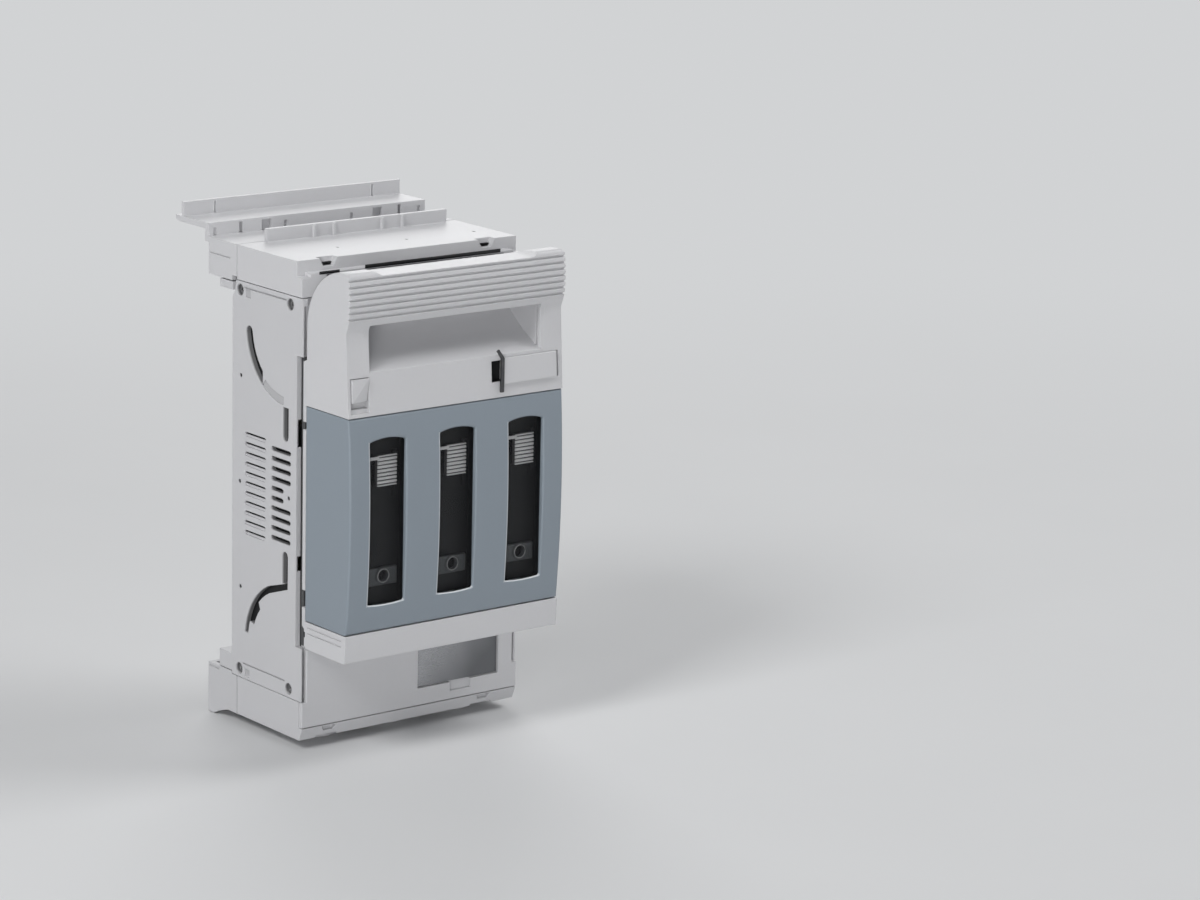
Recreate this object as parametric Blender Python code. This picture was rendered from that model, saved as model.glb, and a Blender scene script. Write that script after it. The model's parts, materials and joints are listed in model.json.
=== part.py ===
"""Fuse switch disconnector, size NH00, three poles, hooked onto a 60 mm busbar system.

Sizes are in millimetres, and MM turns them into Blender's metres. X runs across the width,
Y from the front to the back and Z up. While the pieces are made, Y = 0 is the front of the
base and Z = 0 its lowest edge. The product empty then moves them all, so that the origin is
the middle of the whole outline at the bottom.
"""

import math

import bmesh
import bpy
from mathutils import Matrix, Vector

for old in list(bpy.data.objects):
    bpy.data.objects.remove(old, do_unlink=True)

MM = 0.001

# Overall sizes
WIDTH = 106.0
BAR_PITCH = 60.0
SEAM_LOW = 19.8
SEAM_HIGH = SEAM_LOW + 2 * BAR_PITCH + 42.2
PLATE_DEPTH = 49.9
POLE_MARGIN = 2.9
POLE_PITCH = (WIDTH - 2 * POLE_MARGIN) / 3
FIT = 0.3
WALL = 2.2

# Side plates
PLATE_WALL = 2.3
PLATE_FRONT = 0.9
PLATE_LIP = 0.7
PLATE_STEP = 4.0
PLATE_STEP_MARGIN = 22.0
VENT_PITCH = 4.0
VENT_HEIGHT = 1.9
VENT_LONG_ROWS = 11
VENT_LONG = (PLATE_DEPTH - 23.9, PLATE_DEPTH - 9.0)
VENT_SHORT = (8.6, PLATE_DEPTH - 27.5)
VENT_SKIP = 5.0  # the two middle rows of the short column start this much further back
GUIDE_RADIUS = 28.0
GUIDE_WIDTH = 4.7
SCREW_RADIUS = 1.5
SCREW_HEAD = 2.1
SCREW_INSET = 3.6
SCREW_HEAD_WALL = 0.5
PEG_RADIUS = 0.9
SKIN = 0.5  # depth of the shallow lines and steps in a face

# Base frame
PARTITION = 2.4
REAR_WALL_Y = PLATE_DEPTH - 11.4
REAR_WALL = 2.5
REAR_COVER_Y = REAR_WALL_Y + 7.7
BEAM_BACK = REAR_COVER_Y + 13.1
BEAM_LOW_TOP = SEAM_LOW + 8.4
BEAM_HIGH_LOW = SEAM_HIGH - 4.6

# Covers and shrouds
TOP_COVER_HIGH = SEAM_HIGH + 14.1
TOP_BAND_SETBACK = 3.6
TOP_COVER_FRONT = 1.7
COVER_DEPTH = PLATE_DEPTH - 3.0
LEDGE_DROP = 4.8
SHROUD_BACK = BEAM_BACK + 7.8
SHELF_STEP_Y = SHROUD_BACK + 0.4
SHELF_BACK = SHELF_STEP_Y + 23.7
SHELF_HIGH = TOP_COVER_HIGH + 5.3
SHELF_WALL = 2.4
FLANGE_Y = SHELF_BACK - 5.8
FLANGE_WALL = 1.5
FLANGE_HIGH = SHELF_HIGH + 5.8
CROSS_WALL_HIGH = TOP_COVER_HIGH + 5.2
BOTTOM_COVER_LOW = 3.8
LIP_HIGH = 9.0
LIP_LEAN = 2.0
PANEL_WALL = 2.2
PANEL_HIGH = SEAM_LOW + 21.4
POCKET_LEFT = 3.4
POCKET_WIDTH = 40.4
POCKET_LOW = PANEL_HIGH - 24.8
POCKET_HEIGHT = 17.0
POCKET_DEPTH = 1.7
LABEL_WALL = 0.3
THUMB_WIDTH = 10.2
THUMB_DROP = 3.6
PANEL_GAP = 1.5
OUTLET_LENGTH = 20.0
OUTLET_WIDTH = 17.0
OUTLET_Y = 23.0

# Lid
LID_SETBACK = 1.2
LID_WIDTH = WIDTH - 2 * LID_SETBACK
LID_BACK = -0.2
SKIRT_BACK = 2.1
STRIP_BACK = 0.7
LID_LOW = PANEL_HIGH + 0.8
LID_HIGH = SEAM_HIGH + 14.2
LID_FRONT = -28.6
LID_BOW = LID_FRONT - 1.3
STRIP_TOP = LID_LOW + 11.3
COVER_TOP = SEAM_HIGH - 42.4
RAIL_WALL = 2.0
CHEEK_WIDTH = 10.6
CHEEK_RADIUS = 25.0
SADDLE_DROP = 1.9
GROOVES = 7
GROOVE_PITCH = 2.48
GROOVE_DEPTH = 0.9
GRIP_TOP_GROOVE = LID_HIGH - 2.9
RECESS_LEFT = -LID_WIDTH / 2 + 10.4
RECESS_RIGHT = LID_WIDTH / 2 - 10.5
RECESS_LOW = COVER_TOP + 16.2
RECESS_HIGH = RECESS_LOW + 19.3
RECESS_RADIUS = 59.0
RECESS_SLOPE = 19.0
WINDOW_WIDTH = 17.0
WINDOW_LOW = STRIP_TOP + 11.2
WINDOW_HIGH = COVER_TOP - 10.3
WINDOW_RISE = 1.3
PANE_WALL = 1.2
PANE_LAP = 0.9
CARRIER_WALL = 1.8
CARRIER_LAP = 2.0
CATCH_WIDTH = 11.2
TEST_WIDTH = 14.0
HINGE_Y = -5.0
HINGE_Z = LID_LOW + 3.5
PIN_RADIUS = 1.5
HINGE_X = LID_WIDTH / 2 - 21.3

# Contacts
BLADE_WALL = 6.0
JAW_WALL = 1.8
JAW_HEIGHT = 14.0
JAW_SPACING = 65.0
STRIP_WIDTH = 14.0
BAR_WALL = 10.0
BAR_HEIGHT = 20.0
BOLT_RADIUS = 3.4

# Small moving pieces
LOCK_TRAVEL = 5.0
LOCK_LENGTH = 26.1
LOCK_HEIGHT = 10.3
LOCK_RIGHT = LID_WIDTH / 2 - 3.5
LOCK_WALL = 0.9
LATCH_TRAVEL = 2.6
CATCH_TRAVEL = 4.0

HALF = WIDTH / 2
INNER = HALF - PLATE_WALL - FIT
MID = (SEAM_LOW + SEAM_HIGH) / 2
POLES = (-POLE_PITCH, 0.0, POLE_PITCH)
LID_HALF = LID_WIDTH / 2
ORIGIN_Y = (LID_BOW + SHELF_BACK) / 2


def plastic(name, colour, roughness=0.45, metallic=0.0):
    material = bpy.data.materials.new(name)
    material.use_nodes = True
    shader = material.node_tree.nodes["Principled BSDF"]
    shader.inputs["Base Color"].default_value = (*colour, 1.0)
    shader.inputs["Roughness"].default_value = roughness
    shader.inputs["Metallic"].default_value = metallic
    return material


PALE = (0.60, 0.61, 0.62)
BLUE_GREY = (0.25, 0.31, 0.35)
DARK = (0.03, 0.03, 0.035)
MID_GREY = (0.12, 0.13, 0.135)
COPPER = (0.72, 0.62, 0.50)
STEEL = (0.55, 0.56, 0.58)


def build_mesh(name, shape):
    """A new object from a bmesh, with its faces turned outwards."""
    bmesh.ops.recalc_face_normals(shape, faces=shape.faces)
    mesh = bpy.data.meshes.new(name)
    shape.to_mesh(mesh)
    shape.free()
    body = bpy.data.objects.new(name, mesh)
    bpy.context.scene.collection.objects.link(body)
    return body


def prism_shape(outline, axis, low, high):
    """A bmesh with the outline drawn across the axis and extruded along it from low to high."""
    first, second, along = {"x": (1, 2, 0), "y": (0, 2, 1), "z": (0, 1, 2)}[axis]
    shape = bmesh.new()
    corners = []
    for point in outline:
        place = [0.0, 0.0, 0.0]
        place[first] = point[0] * MM
        place[second] = point[1] * MM
        place[along] = low * MM
        corners.append(shape.verts.new(place))
    face = shape.faces.new(corners)
    grown = bmesh.ops.extrude_face_region(shape, geom=[face])
    far_end = [item for item in grown["geom"] if isinstance(item, bmesh.types.BMVert)]
    step = [0.0, 0.0, 0.0]
    step[along] = (high - low) * MM
    bmesh.ops.translate(shape, verts=far_end, vec=step)
    return shape


def prism(outline, axis, low, high, name="tool"):
    return build_mesh(name, prism_shape(outline, axis, low, high))


def box(x, y, z, name="tool"):
    """A block given by its low and high side along X, Y and Z."""
    outline = [(x[0], y[0]), (x[1], y[0]), (x[1], y[1]), (x[0], y[1])]
    return prism(outline, "z", z[0], z[1], name)


def arc(centre, radius, start, end, steps):
    """Points of a circle's arc, with angles in degrees from the first axis to the second."""
    points = []
    for index in range(steps + 1):
        angle = math.radians(start + (end - start) * index / steps)
        points.append((centre[0] + radius * math.cos(angle), centre[1] + radius * math.sin(angle)))
    return points


def circle(centre, radius, steps=20):
    return arc(centre, radius, 0, 360 - 360 / steps, steps - 1)


def slot(low, high, level, height, steps=3):
    """A slot with round ends, along the outline's first axis."""
    end = height / 2
    left = arc((low + end, level), end, 90, 270, steps)
    right = arc((high - end, level), end, -90, 90, steps)
    return left + right


def circle_through(first, second, third):
    """Centre and radius of the circle through three points."""
    (ax, ay), (bx, by), (cx, cy) = first, second, third
    turn = 2 * (ax * (by - cy) + bx * (cy - ay) + cx * (ay - by))
    a_square = ax * ax + ay * ay
    b_square = bx * bx + by * by
    c_square = cx * cx + cy * cy
    x = (a_square * (by - cy) + b_square * (cy - ay) + c_square * (ay - by)) / turn
    y = (a_square * (cx - bx) + b_square * (ax - cx) + c_square * (bx - ax)) / turn
    return (x, y), math.hypot(ax - x, ay - y)


def boolean(body, tools, operation):
    """Joins the tools to the body or cuts them from it, and removes the tools."""
    group = bpy.data.collections.new("tools")
    for tool in tools:
        group.objects.link(tool)
    change = body.modifiers.new("change", "BOOLEAN")
    change.solver = "EXACT"
    change.operation = operation
    change.operand_type = "COLLECTION"
    change.collection = group
    graph = bpy.context.evaluated_depsgraph_get()
    mesh = bpy.data.meshes.new_from_object(body.evaluated_get(graph))
    body.modifiers.clear()
    body.data = mesh
    for tool in tools:
        bpy.data.objects.remove(tool, do_unlink=True)
    bpy.data.collections.remove(group)
    return body


def join(body, *tools):
    return boolean(body, tools, "UNION")


def cut(body, *tools):
    return boolean(body, tools, "DIFFERENCE")


def span(side, near, far):
    """Low and high X of something between two distances from the middle, on one side."""
    return (side * far, side * near) if side < 0 else (near, far)


def finish(body, name, material, pivot=(0.0, 0.0, 0.0), parent=None):
    """Names the piece, gives it its material and puts its origin at the pivot."""
    body.name = name
    body.data.name = name
    body.data.materials.clear()
    body.data.materials.append(material)
    body.data.shade_smooth()
    body.data.set_sharp_from_angle(angle=math.radians(32))
    move = Vector(pivot) * MM
    body.data.transform(Matrix.Translation(-move))
    body.location = move
    body.parent = parent or product
    if parent:
        body.location = move - parent.location
    return body


def copy_piece(body, name, shift):
    """Another object with the same mesh, moved by a shift in millimetres."""
    twin = bpy.data.objects.new(name, body.data)
    bpy.context.scene.collection.objects.link(twin)
    twin.location = body.location + Vector(shift) * MM
    twin.parent = body.parent
    return twin


product = bpy.data.objects.new("product", None)
bpy.context.scene.collection.objects.link(product)
product.location = (0.0, -ORIGIN_Y * MM, 0.0)

lid_axis = bpy.data.objects.new("lid_axis", None)
bpy.context.scene.collection.objects.link(lid_axis)
lid_axis.parent = product
lid_axis.location = Vector((0.0, HINGE_Y, HINGE_Z)) * MM

pale_plastic = plastic("pale_plastic", PALE)
blue_plastic = plastic("blue_plastic", BLUE_GREY)
dark_plastic = plastic("dark_plastic", DARK, 0.4)
grey_plastic = plastic("grey_plastic", MID_GREY, 0.4)
smoked_pane = plastic("smoked_pane", DARK, 0.1)
copper = plastic("silvered_copper", COPPER, 0.35, 1.0)
steel = plastic("zinc_steel", STEEL, 0.35, 1.0)
label_metal = plastic("label_silver", (0.62, 0.63, 0.64), 0.3, 0.6)


# Side plates: a thin wall with vents, curved guide slots, screw seats and holes

STEP_LOW = SEAM_LOW + PLATE_STEP_MARGIN
STEP_HIGH = SEAM_HIGH - PLATE_STEP_MARGIN - 1.0
PLATE_LOW = SEAM_LOW + FIT / 2
PLATE_TOP = SEAM_HIGH - FIT / 2
SCREW_Y = (9.6, PLATE_DEPTH - 5.3)
SCREW_Z = (SEAM_LOW + SCREW_INSET, SEAM_HIGH - SCREW_INSET)
STRAIGHT_SLOT = (10.4, 14.3)


def plate_outline():
    step = PLATE_FRONT + PLATE_STEP
    return [
        (PLATE_FRONT, PLATE_LOW),
        (PLATE_DEPTH, PLATE_LOW),
        (PLATE_DEPTH, SEAM_HIGH - 7.6),
        (PLATE_DEPTH - 1.6, BEAM_HIGH_LOW),
        (PLATE_DEPTH - 2.4, PLATE_TOP),
        (PLATE_FRONT, PLATE_TOP),
        (PLATE_FRONT, STEP_HIGH),
        (step, STEP_HIGH),
        (step, STEP_LOW),
        (PLATE_FRONT, STEP_LOW),
    ]


GUIDE_Y = 12.5
GUIDE_Z = 64.6
UPPER_END = 28.5
LOWER_NECK = 2.5


def upper_guide():
    """The curved slot in the upper half: round at its top, and cut off upright at its lower end."""
    centre = (GUIDE_Y, MID + GUIDE_Z)
    inner = GUIDE_RADIUS - GUIDE_WIDTH
    middle = GUIDE_RADIUS - GUIDE_WIDTH / 2
    reach = UPPER_END - GUIDE_Y
    outer_end = -math.degrees(math.acos(reach / GUIDE_RADIUS))
    inner_end = -math.degrees(math.acos(reach / inner))
    start = -6.0
    cap_centre = arc(centre, middle, start, start, 1)[0]
    cap = arc(cap_centre, GUIDE_WIDTH / 2, start, start + 180, 5)
    return arc(centre, GUIDE_RADIUS, outer_end, start - 2, 8) + cap + arc(centre, inner, start - 2, inner_end, 6)


def upper_ramp():
    """The shallow run between the curved slot's lower end and the straight slot."""
    centre = (GUIDE_Y, MID + GUIDE_Z)
    start = -math.degrees(math.acos((UPPER_END - GUIDE_Y) / GUIDE_RADIUS)) + 1.0
    return arc(centre, GUIDE_RADIUS, start, -87.0, 6) + arc(centre, GUIDE_RADIUS - 3.4, -87.0, start, 6)


def lower_guide():
    """The curved slot in the lower half, from the straight slot back and down, wider half way."""
    centre = (GUIDE_Y, MID - GUIDE_Z)
    neck = GUIDE_RADIUS - LOWER_NECK
    outer = arc(centre, GUIDE_RADIUS + 0.4, 7, 66, 9)
    inner = arc(centre, neck, 66, 44, 3) + arc(centre, GUIDE_RADIUS - GUIDE_WIDTH - 0.5, 41, 20, 3)
    foot = [(STRAIGHT_SLOT[0], MID - 34.6), (STRAIGHT_SLOT[0], MID - 37.1)]
    return outer + foot + inner + arc(centre, neck + 0.4, 19, 7, 2)


def side_plate(side, name):
    outer = span(side, HALF - PLATE_WALL, HALF)
    through = span(side, HALF - PLATE_WALL - 1, HALF + 1)
    body = prism(plate_outline(), "x", *outer)
    tools = []
    for row in range(VENT_LONG_ROWS):
        level = MID + (row - (VENT_LONG_ROWS - 1) / 2) * VENT_PITCH
        tools.append(prism(slot(*VENT_LONG, level, VENT_HEIGHT), "x", *through))
    for row in range(VENT_LONG_ROWS - 1):
        from_middle = row - (VENT_LONG_ROWS - 2) / 2
        start = VENT_SHORT[0] + (VENT_SKIP if abs(from_middle) < 1 else 0.0)
        level = MID + from_middle * VENT_PITCH
        tools.append(prism(slot(start, VENT_SHORT[1], level, VENT_HEIGHT), "x", *through))
    middle = sum(STRAIGHT_SLOT) / 2
    half = (STRAIGHT_SLOT[1] - STRAIGHT_SLOT[0]) / 2
    upper = [(STRAIGHT_SLOT[0], MID + 36.0), (STRAIGHT_SLOT[1], MID + 36.0)]
    upper += arc((middle, MID + 22.3 + half), half, 360, 180, 4)
    lower = [(STRAIGHT_SLOT[1], MID - 35.2), (STRAIGHT_SLOT[0], MID - 35.2)]
    lower += arc((middle, MID - 22.0 - half), half, 180, 0, 4)
    tools += [
        prism(upper_guide(), "x", *through),
        prism(lower_guide(), "x", *through),
        prism(upper, "x", *through),
        prism(lower, "x", *through),
    ]
    rear = PLATE_DEPTH - 6.0
    for place in ((rear, MID + 43.2), (rear, MID - 43.2), (rear + 0.7, MID), (10.1, MID)):
        tools.append(prism(circle(place, PEG_RADIUS, 8), "x", *through))
    seat = span(side, HALF - PLATE_WALL + 0.7, HALF + 1)
    skin = span(side, HALF - SKIN, HALF + 1)
    tools.append(prism(upper_ramp(), "x", *span(side, HALF - SKIN, HALF + 1)))
    for level in SCREW_Z:
        for depth in SCREW_Y:
            tools.append(prism(circle((depth, level), SCREW_HEAD + FIT, 16), "x", *seat))
            tools.append(prism(circle((depth, level), SCREW_RADIUS + FIT, 12), "x", *through))
        line = level + (2.7 if level < MID else 1.3)
        tools.append(box(skin, (SCREW_Y[0] + 2.6, SCREW_Y[1] - 2.4), (line - 0.3, line + 0.3)))
        tools.append(box(skin, (SCREW_Y[1] - 7.4, SCREW_Y[1] - 3.9), (level - 2.4, level + 0.8)))
    cut(body, *tools)
    rebate = span(side, HALF - PLATE_WALL - 1, HALF - PLATE_LIP)
    depth = (-1.0, PANEL_WALL + 0.7)
    cut(
        body,
        box(rebate, depth, (PLATE_LOW - 1, STEP_LOW + 1)),
        box(rebate, depth, (STEP_HIGH - 1, PLATE_TOP - 3.0)),
        box(rebate, (0.0, PLATE_FRONT + PLATE_STEP + 3), (MID + 21.5, MID + 32.5)),
        box(rebate, (0.0, PLATE_FRONT + PLATE_STEP + 3), (MID - 28.5, MID - 22.5)),
    )
    return finish(body, name, pale_plastic, (side * HALF, 0.0, MID))


side_plate(-1, "left_side_plate")
side_plate(1, "right_side_plate")


def side_screw(side, depth, level, name):
    """A countersunk plate screw: a head in its seat and a shank into the base's boss."""
    seat = HALF - PLATE_WALL + 0.7 + FIT
    head = prism(circle((depth, level), SCREW_HEAD, 16), "x", *span(side, seat, seat + SCREW_HEAD_WALL))
    shank = prism(circle((depth, level), SCREW_RADIUS, 12), "x", *span(side, INNER - 3.6, seat + SCREW_HEAD_WALL / 2))
    join(head, shank)
    recess = box(span(side, seat + 0.2, seat + 2), (depth - 1.4, depth + 1.4), (level - 0.3, level + 0.3))
    cut(head, recess)
    return finish(head, name, steel, (side * seat, depth, level))


number = 0
for side in (-1, 1):
    for depth in SCREW_Y:
        for level in SCREW_Z:
            number += 1
            side_screw(side, depth, level, f"side_screw_{number}")


# Base frame: decks, rear wall, partitions, front flanges, hinge brackets and rear beams

DECK = 2.5
DECK_LOW = SEAM_LOW + FIT
DECK_HIGH = SEAM_HIGH - FIT
FLANGE_FRONT = SKIRT_BACK + 3 * FIT
FLANGE_BACK = PLATE_FRONT + PLATE_STEP - FIT
FRONT_WALL = (PANEL_WALL + 0.4, PANEL_WALL + 2.6)
FRONT_WALL_X = INNER - 2.6
BRACKET = 2.8
KNUCKLE = 3.1
BAR_Z = tuple(MID + (1 - pole) * BAR_PITCH for pole in range(3))
CONTACT_HIGH = MID + JAW_SPACING / 2
CONTACT_LOW = MID - JAW_SPACING / 2
STUD_RADIUS = 2.5
TERMINAL_Z = DECK_LOW + 14.0


def knuckle_outline(radius, back, low):
    """A round eye about the hinge axis, carried on an arm that runs back, or down to low."""
    if back is not None:
        eye = arc((HINGE_Y, HINGE_Z), radius, 270, 90, 8)
        return eye + [(back, HINGE_Z + radius), (back, HINGE_Z - radius)]
    eye = arc((HINGE_Y, HINGE_Z), radius, 0, 180, 8)
    return eye + [(HINGE_Y - radius, low), (HINGE_Y + radius, low)]


def base_frame():
    deck_back = PLATE_DEPTH - FIT
    body = box((-INNER, INNER), (FRONT_WALL[0], deck_back), (DECK_LOW, DECK_LOW + DECK))
    parts = [
        box((-INNER, INNER), (FRONT_WALL[0], PLATE_DEPTH - 2.8), (DECK_HIGH - DECK, DECK_HIGH)),
        box((-INNER, INNER), (REAR_WALL_Y, REAR_WALL_Y + REAR_WALL), (DECK_LOW, DECK_HIGH)),
        box((-FRONT_WALL_X, FRONT_WALL_X), FRONT_WALL, (DECK_LOW, HINGE_Z + 6.5)),
        box((-FRONT_WALL_X, FRONT_WALL_X), FRONT_WALL, (RECESS_LOW + 12, DECK_HIGH)),
        box((-INNER, INNER), (REAR_WALL_Y, BEAM_BACK), (SEAM_LOW + 1.3, BEAM_LOW_TOP)),
        box((-HALF + FIT, HALF - FIT), (PLATE_DEPTH + FIT, BEAM_BACK), (SEAM_LOW + 1.3, BEAM_LOW_TOP)),
        box((-INNER, INNER), (REAR_WALL_Y, BEAM_BACK), (BEAM_HIGH_LOW, SEAM_HIGH - 1.4)),
        box((-HALF + FIT, HALF - FIT), (PLATE_DEPTH + FIT, BEAM_BACK), (BEAM_HIGH_LOW, SEAM_HIGH - 1.4)),
    ]
    for side in (-1, 1):
        wall = side * POLE_PITCH / 2
        parts.append(box((wall - PARTITION / 2, wall + PARTITION / 2), (3.0, REAR_WALL_Y + 1), (DECK_LOW, DECK_HIGH)))
        parts.append(box(span(side, INNER - 3, INNER), (FRONT_WALL[0], FLANGE_BACK), (DECK_LOW, STEP_LOW + 1)))
        parts.append(box(span(side, INNER - 3, INNER), (FLANGE_FRONT, FLANGE_BACK), (STEP_LOW, DECK_HIGH)))
        arm = knuckle_outline(KNUCKLE, FRONT_WALL[1], None)
        parts.append(prism(arm, "x", *span(side, HINGE_X - BRACKET, HINGE_X + BRACKET)))
        for depth in SCREW_Y:
            for level in SCREW_Z:
                reach = (depth - 3.4, depth + 3.4)
                boss = (DECK_LOW, level + 3.4) if level < MID else (level - 3.4, DECK_HIGH)
                parts.append(box(span(side, INNER - 4.8, INNER), reach, boss))
    join(body, *parts)
    tools = []
    for side in (-1, 1):
        eye = circle((HINGE_Y, HINGE_Z), PIN_RADIUS + FIT, 20)
        tools.append(prism(eye, "x", *span(side, HINGE_X - BRACKET - 1, HINGE_X + BRACKET + 1)))
        for depth in SCREW_Y:
            for level in SCREW_Z:
                hole = circle((depth, level), SCREW_RADIUS + FIT, 12)
                tools.append(prism(hole, "x", *span(side, INNER - 4.0, INNER + 1)))
        for up in (-1, 1):
            window = (MID + up * 25 - 3.2, MID + up * 25 + 3.2)
            tools.append(box(span(side, INNER - 2, HALF), (FLANGE_FRONT - 1, FLANGE_BACK + 1), window))
    wall = (REAR_WALL_Y - 1, REAR_WALL_Y + REAR_WALL + 1)
    for pole in POLES:
        tools.append(prism(circle((pole, CONTACT_HIGH), STUD_RADIUS + FIT, 16), "y", *wall))
        tools.append(prism(circle((pole, TERMINAL_Z), BOLT_RADIUS + FIT, 16), "y", *wall))
        outlet = slot(OUTLET_Y - OUTLET_LENGTH / 2, OUTLET_Y + OUTLET_LENGTH / 2, -pole, OUTLET_WIDTH, 6)
        turned = [(-across, along) for along, across in outlet]
        tools.append(prism(turned, "z", DECK_LOW - 1, DECK_LOW + DECK + 1))
    cut(body, *tools)
    return finish(body, "base_frame", pale_plastic, (0.0, 0.0, MID))


base_frame()


HOOK_VIEW = 2.6  # how far each window reaches below the seat of its hook


def rear_cover():
    """The insulating cover behind the busbar strips, with a window for each hook."""
    low = SCREW_Z[0] + 3.4 + FIT
    high = SCREW_Z[1] - 3.4 - FIT
    body = box((-INNER, INNER), (REAR_COVER_Y, REAR_COVER_Y + 2.5), (max(low, BEAM_LOW_TOP + FIT), high))
    tools = []
    for pole, bar in zip(POLES, BAR_Z):
        top = bar + BAR_HEIGHT / 2 + FIT
        opening = (top - HOOK_VIEW, top + 2.0 + 2 * FIT)
        half = STRIP_WIDTH / 2 + 0.5
        tools.append(box((pole - half, pole + half), (REAR_COVER_Y - 1, REAR_COVER_Y + 4), opening))
    cut(body, *tools)
    return finish(body, "rear_cover", pale_plastic, (0.0, REAR_COVER_Y, MID))


rear_cover()


# Contacts: forks for the fuse blades, conductor strips with busbar hooks, terminals

FORK_BACK = REAR_WALL_Y - FIT
FORK_PLATE = FORK_BACK - 2.0


def fork_outline():
    """The fork seen from above: two sprung leaves that pinch the blade, with flared tips."""
    grip = BLADE_WALL / 2 - 0.7
    root = BLADE_WALL / 2 + 1.0
    tip = FORK_PLATE - 25.0
    bend = FORK_PLATE - 6.0
    pinch = tip + 5.0
    right = [
        (STRIP_WIDTH / 2, FORK_BACK),
        (STRIP_WIDTH / 2, FORK_PLATE),
        (root + JAW_WALL, FORK_PLATE),
        (root + JAW_WALL, bend),
        (grip + JAW_WALL, pinch),
        (grip + JAW_WALL + 2.2, tip),
        (grip + 2.2, tip),
        (grip, pinch),
        (root, bend),
        (root, FORK_PLATE),
    ]
    return right + [(-x, y) for x, y in reversed(right)]


def upper_contact():
    low = CONTACT_HIGH - JAW_HEIGHT / 2
    body = prism(fork_outline(), "z", low, low + JAW_HEIGHT)
    stud = prism(circle((0.0, CONTACT_HIGH), STUD_RADIUS, 16), "y", FORK_BACK - 1, STRIP_Y[0] - FIT)
    return join(body, stud)


def lower_contact():
    low = CONTACT_LOW - JAW_HEIGHT / 2
    body = prism(fork_outline(), "z", low, low + JAW_HEIGHT)
    half = STRIP_WIDTH / 2
    tail = box((-half, half), (FORK_PLATE, FORK_BACK), (DECK_LOW + DECK + 3.0, low + 1))
    join(body, tail)
    return cut(body, prism(circle((0.0, TERMINAL_Z), BOLT_RADIUS + FIT, 16), "y", FORK_PLATE - 1, FORK_BACK + 1))


STRIP_Y = (REAR_WALL_Y + REAR_WALL + 0.7, REAR_WALL_Y + REAR_WALL + 2.7)
BAR_FRONT = REAR_COVER_Y + 2.5 + 1.9


def busbar_hook(bar):
    """A copper strip behind the rear wall, bent out over the top edge of its busbar."""
    top = bar + BAR_HEIGHT / 2 + FIT
    inner, outer = STRIP_Y
    lip = BAR_FRONT + BAR_WALL + FIT
    far = CONTACT_HIGH
    if top > far:
        ends = [(inner, far - 6), (outer, far - 6), (outer, top), (lip, top), (lip, top - 7)]
        ends += [(lip + 2, top - 7), (lip + 2, top + 2), (inner, top + 2)]
    else:
        ends = [(inner, far + 6), (inner, top), (lip, top), (lip, top - 7), (lip + 2, top - 7)]
        ends += [(lip + 2, top + 2), (outer, top + 2), (outer, far + 6)]
    return prism(ends, "x", -STRIP_WIDTH / 2, STRIP_WIDTH / 2)


def terminal_bolt():
    """A hexagon bolt that clamps the cable lug on the terminal strip."""
    head = prism(circle((0.0, TERMINAL_Z), 7.5, 6), "y", FORK_PLATE - FIT - 5.5, FORK_PLATE - FIT)
    shank = circle((0.0, TERMINAL_Z), BOLT_RADIUS, 16)
    return join(head, prism(shank, "y", FORK_PLATE - FIT - 1, REAR_WALL_Y + REAR_WALL))


upper_first = finish(upper_contact(), "upper_contact_1", copper, (0.0, FORK_BACK, CONTACT_HIGH))
lower_first = finish(lower_contact(), "lower_contact_1", copper, (0.0, FORK_BACK, CONTACT_LOW))
bolt_first = finish(terminal_bolt(), "terminal_bolt_1", steel, (0.0, FORK_BACK, TERMINAL_Z))
for piece in (upper_first, lower_first, bolt_first):
    piece.location.x = POLES[0] * MM
    stem = piece.name[:-1]
    copy_piece(piece, stem + "2", (POLES[1] - POLES[0], 0.0, 0.0))
    copy_piece(piece, stem + "3", (POLES[2] - POLES[0], 0.0, 0.0))
for number, (pole, bar) in enumerate(zip(POLES, BAR_Z), 1):
    hook = finish(busbar_hook(bar), f"busbar_hook_{number}", copper, (0.0, STRIP_Y[0], bar))
    hook.location.x = pole * MM


# Front panel and its label plate

def front_panel():
    half = HALF - PLATE_LIP - PANEL_GAP
    body = box((-half, half), (0.0, PANEL_WALL), (LIP_HIGH + FIT, PANEL_HIGH))
    join(body, box((-HALF, HALF), (0.0, PANEL_WALL), (LIP_HIGH + FIT, SEAM_LOW - FIT / 2)))
    pocket = box(
        (POCKET_LEFT, POCKET_LEFT + POCKET_WIDTH), (-1.0, POCKET_DEPTH), (POCKET_LOW, POCKET_LOW + POCKET_HEIGHT)
    )
    middle = POCKET_LEFT + POCKET_WIDTH / 2 + 1.2
    foot = POCKET_LOW - THUMB_DROP
    ramp = [(-1.0, foot), (POCKET_DEPTH / 2, foot), (POCKET_DEPTH, POCKET_LOW), (POCKET_DEPTH, POCKET_LOW + 1), (-1.0, POCKET_LOW + 1)]
    notch = prism(ramp, "x", middle - THUMB_WIDTH / 2, middle + THUMB_WIDTH / 2)
    cut(body, pocket, notch)
    return finish(body, "front_panel", pale_plastic, (0.0, 0.0, PANEL_HIGH))


front_panel()
label = box(
    (POCKET_LEFT + FIT, POCKET_LEFT + POCKET_WIDTH - FIT),
    (POCKET_DEPTH - FIT - LABEL_WALL, POCKET_DEPTH - FIT),
    (POCKET_LOW + FIT, POCKET_LOW + POCKET_HEIGHT - FIT),
)
finish(label, "label_plate", label_metal, (POCKET_LEFT, 0.0, POCKET_LOW))


# Top terminal cover and the shroud behind it

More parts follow.
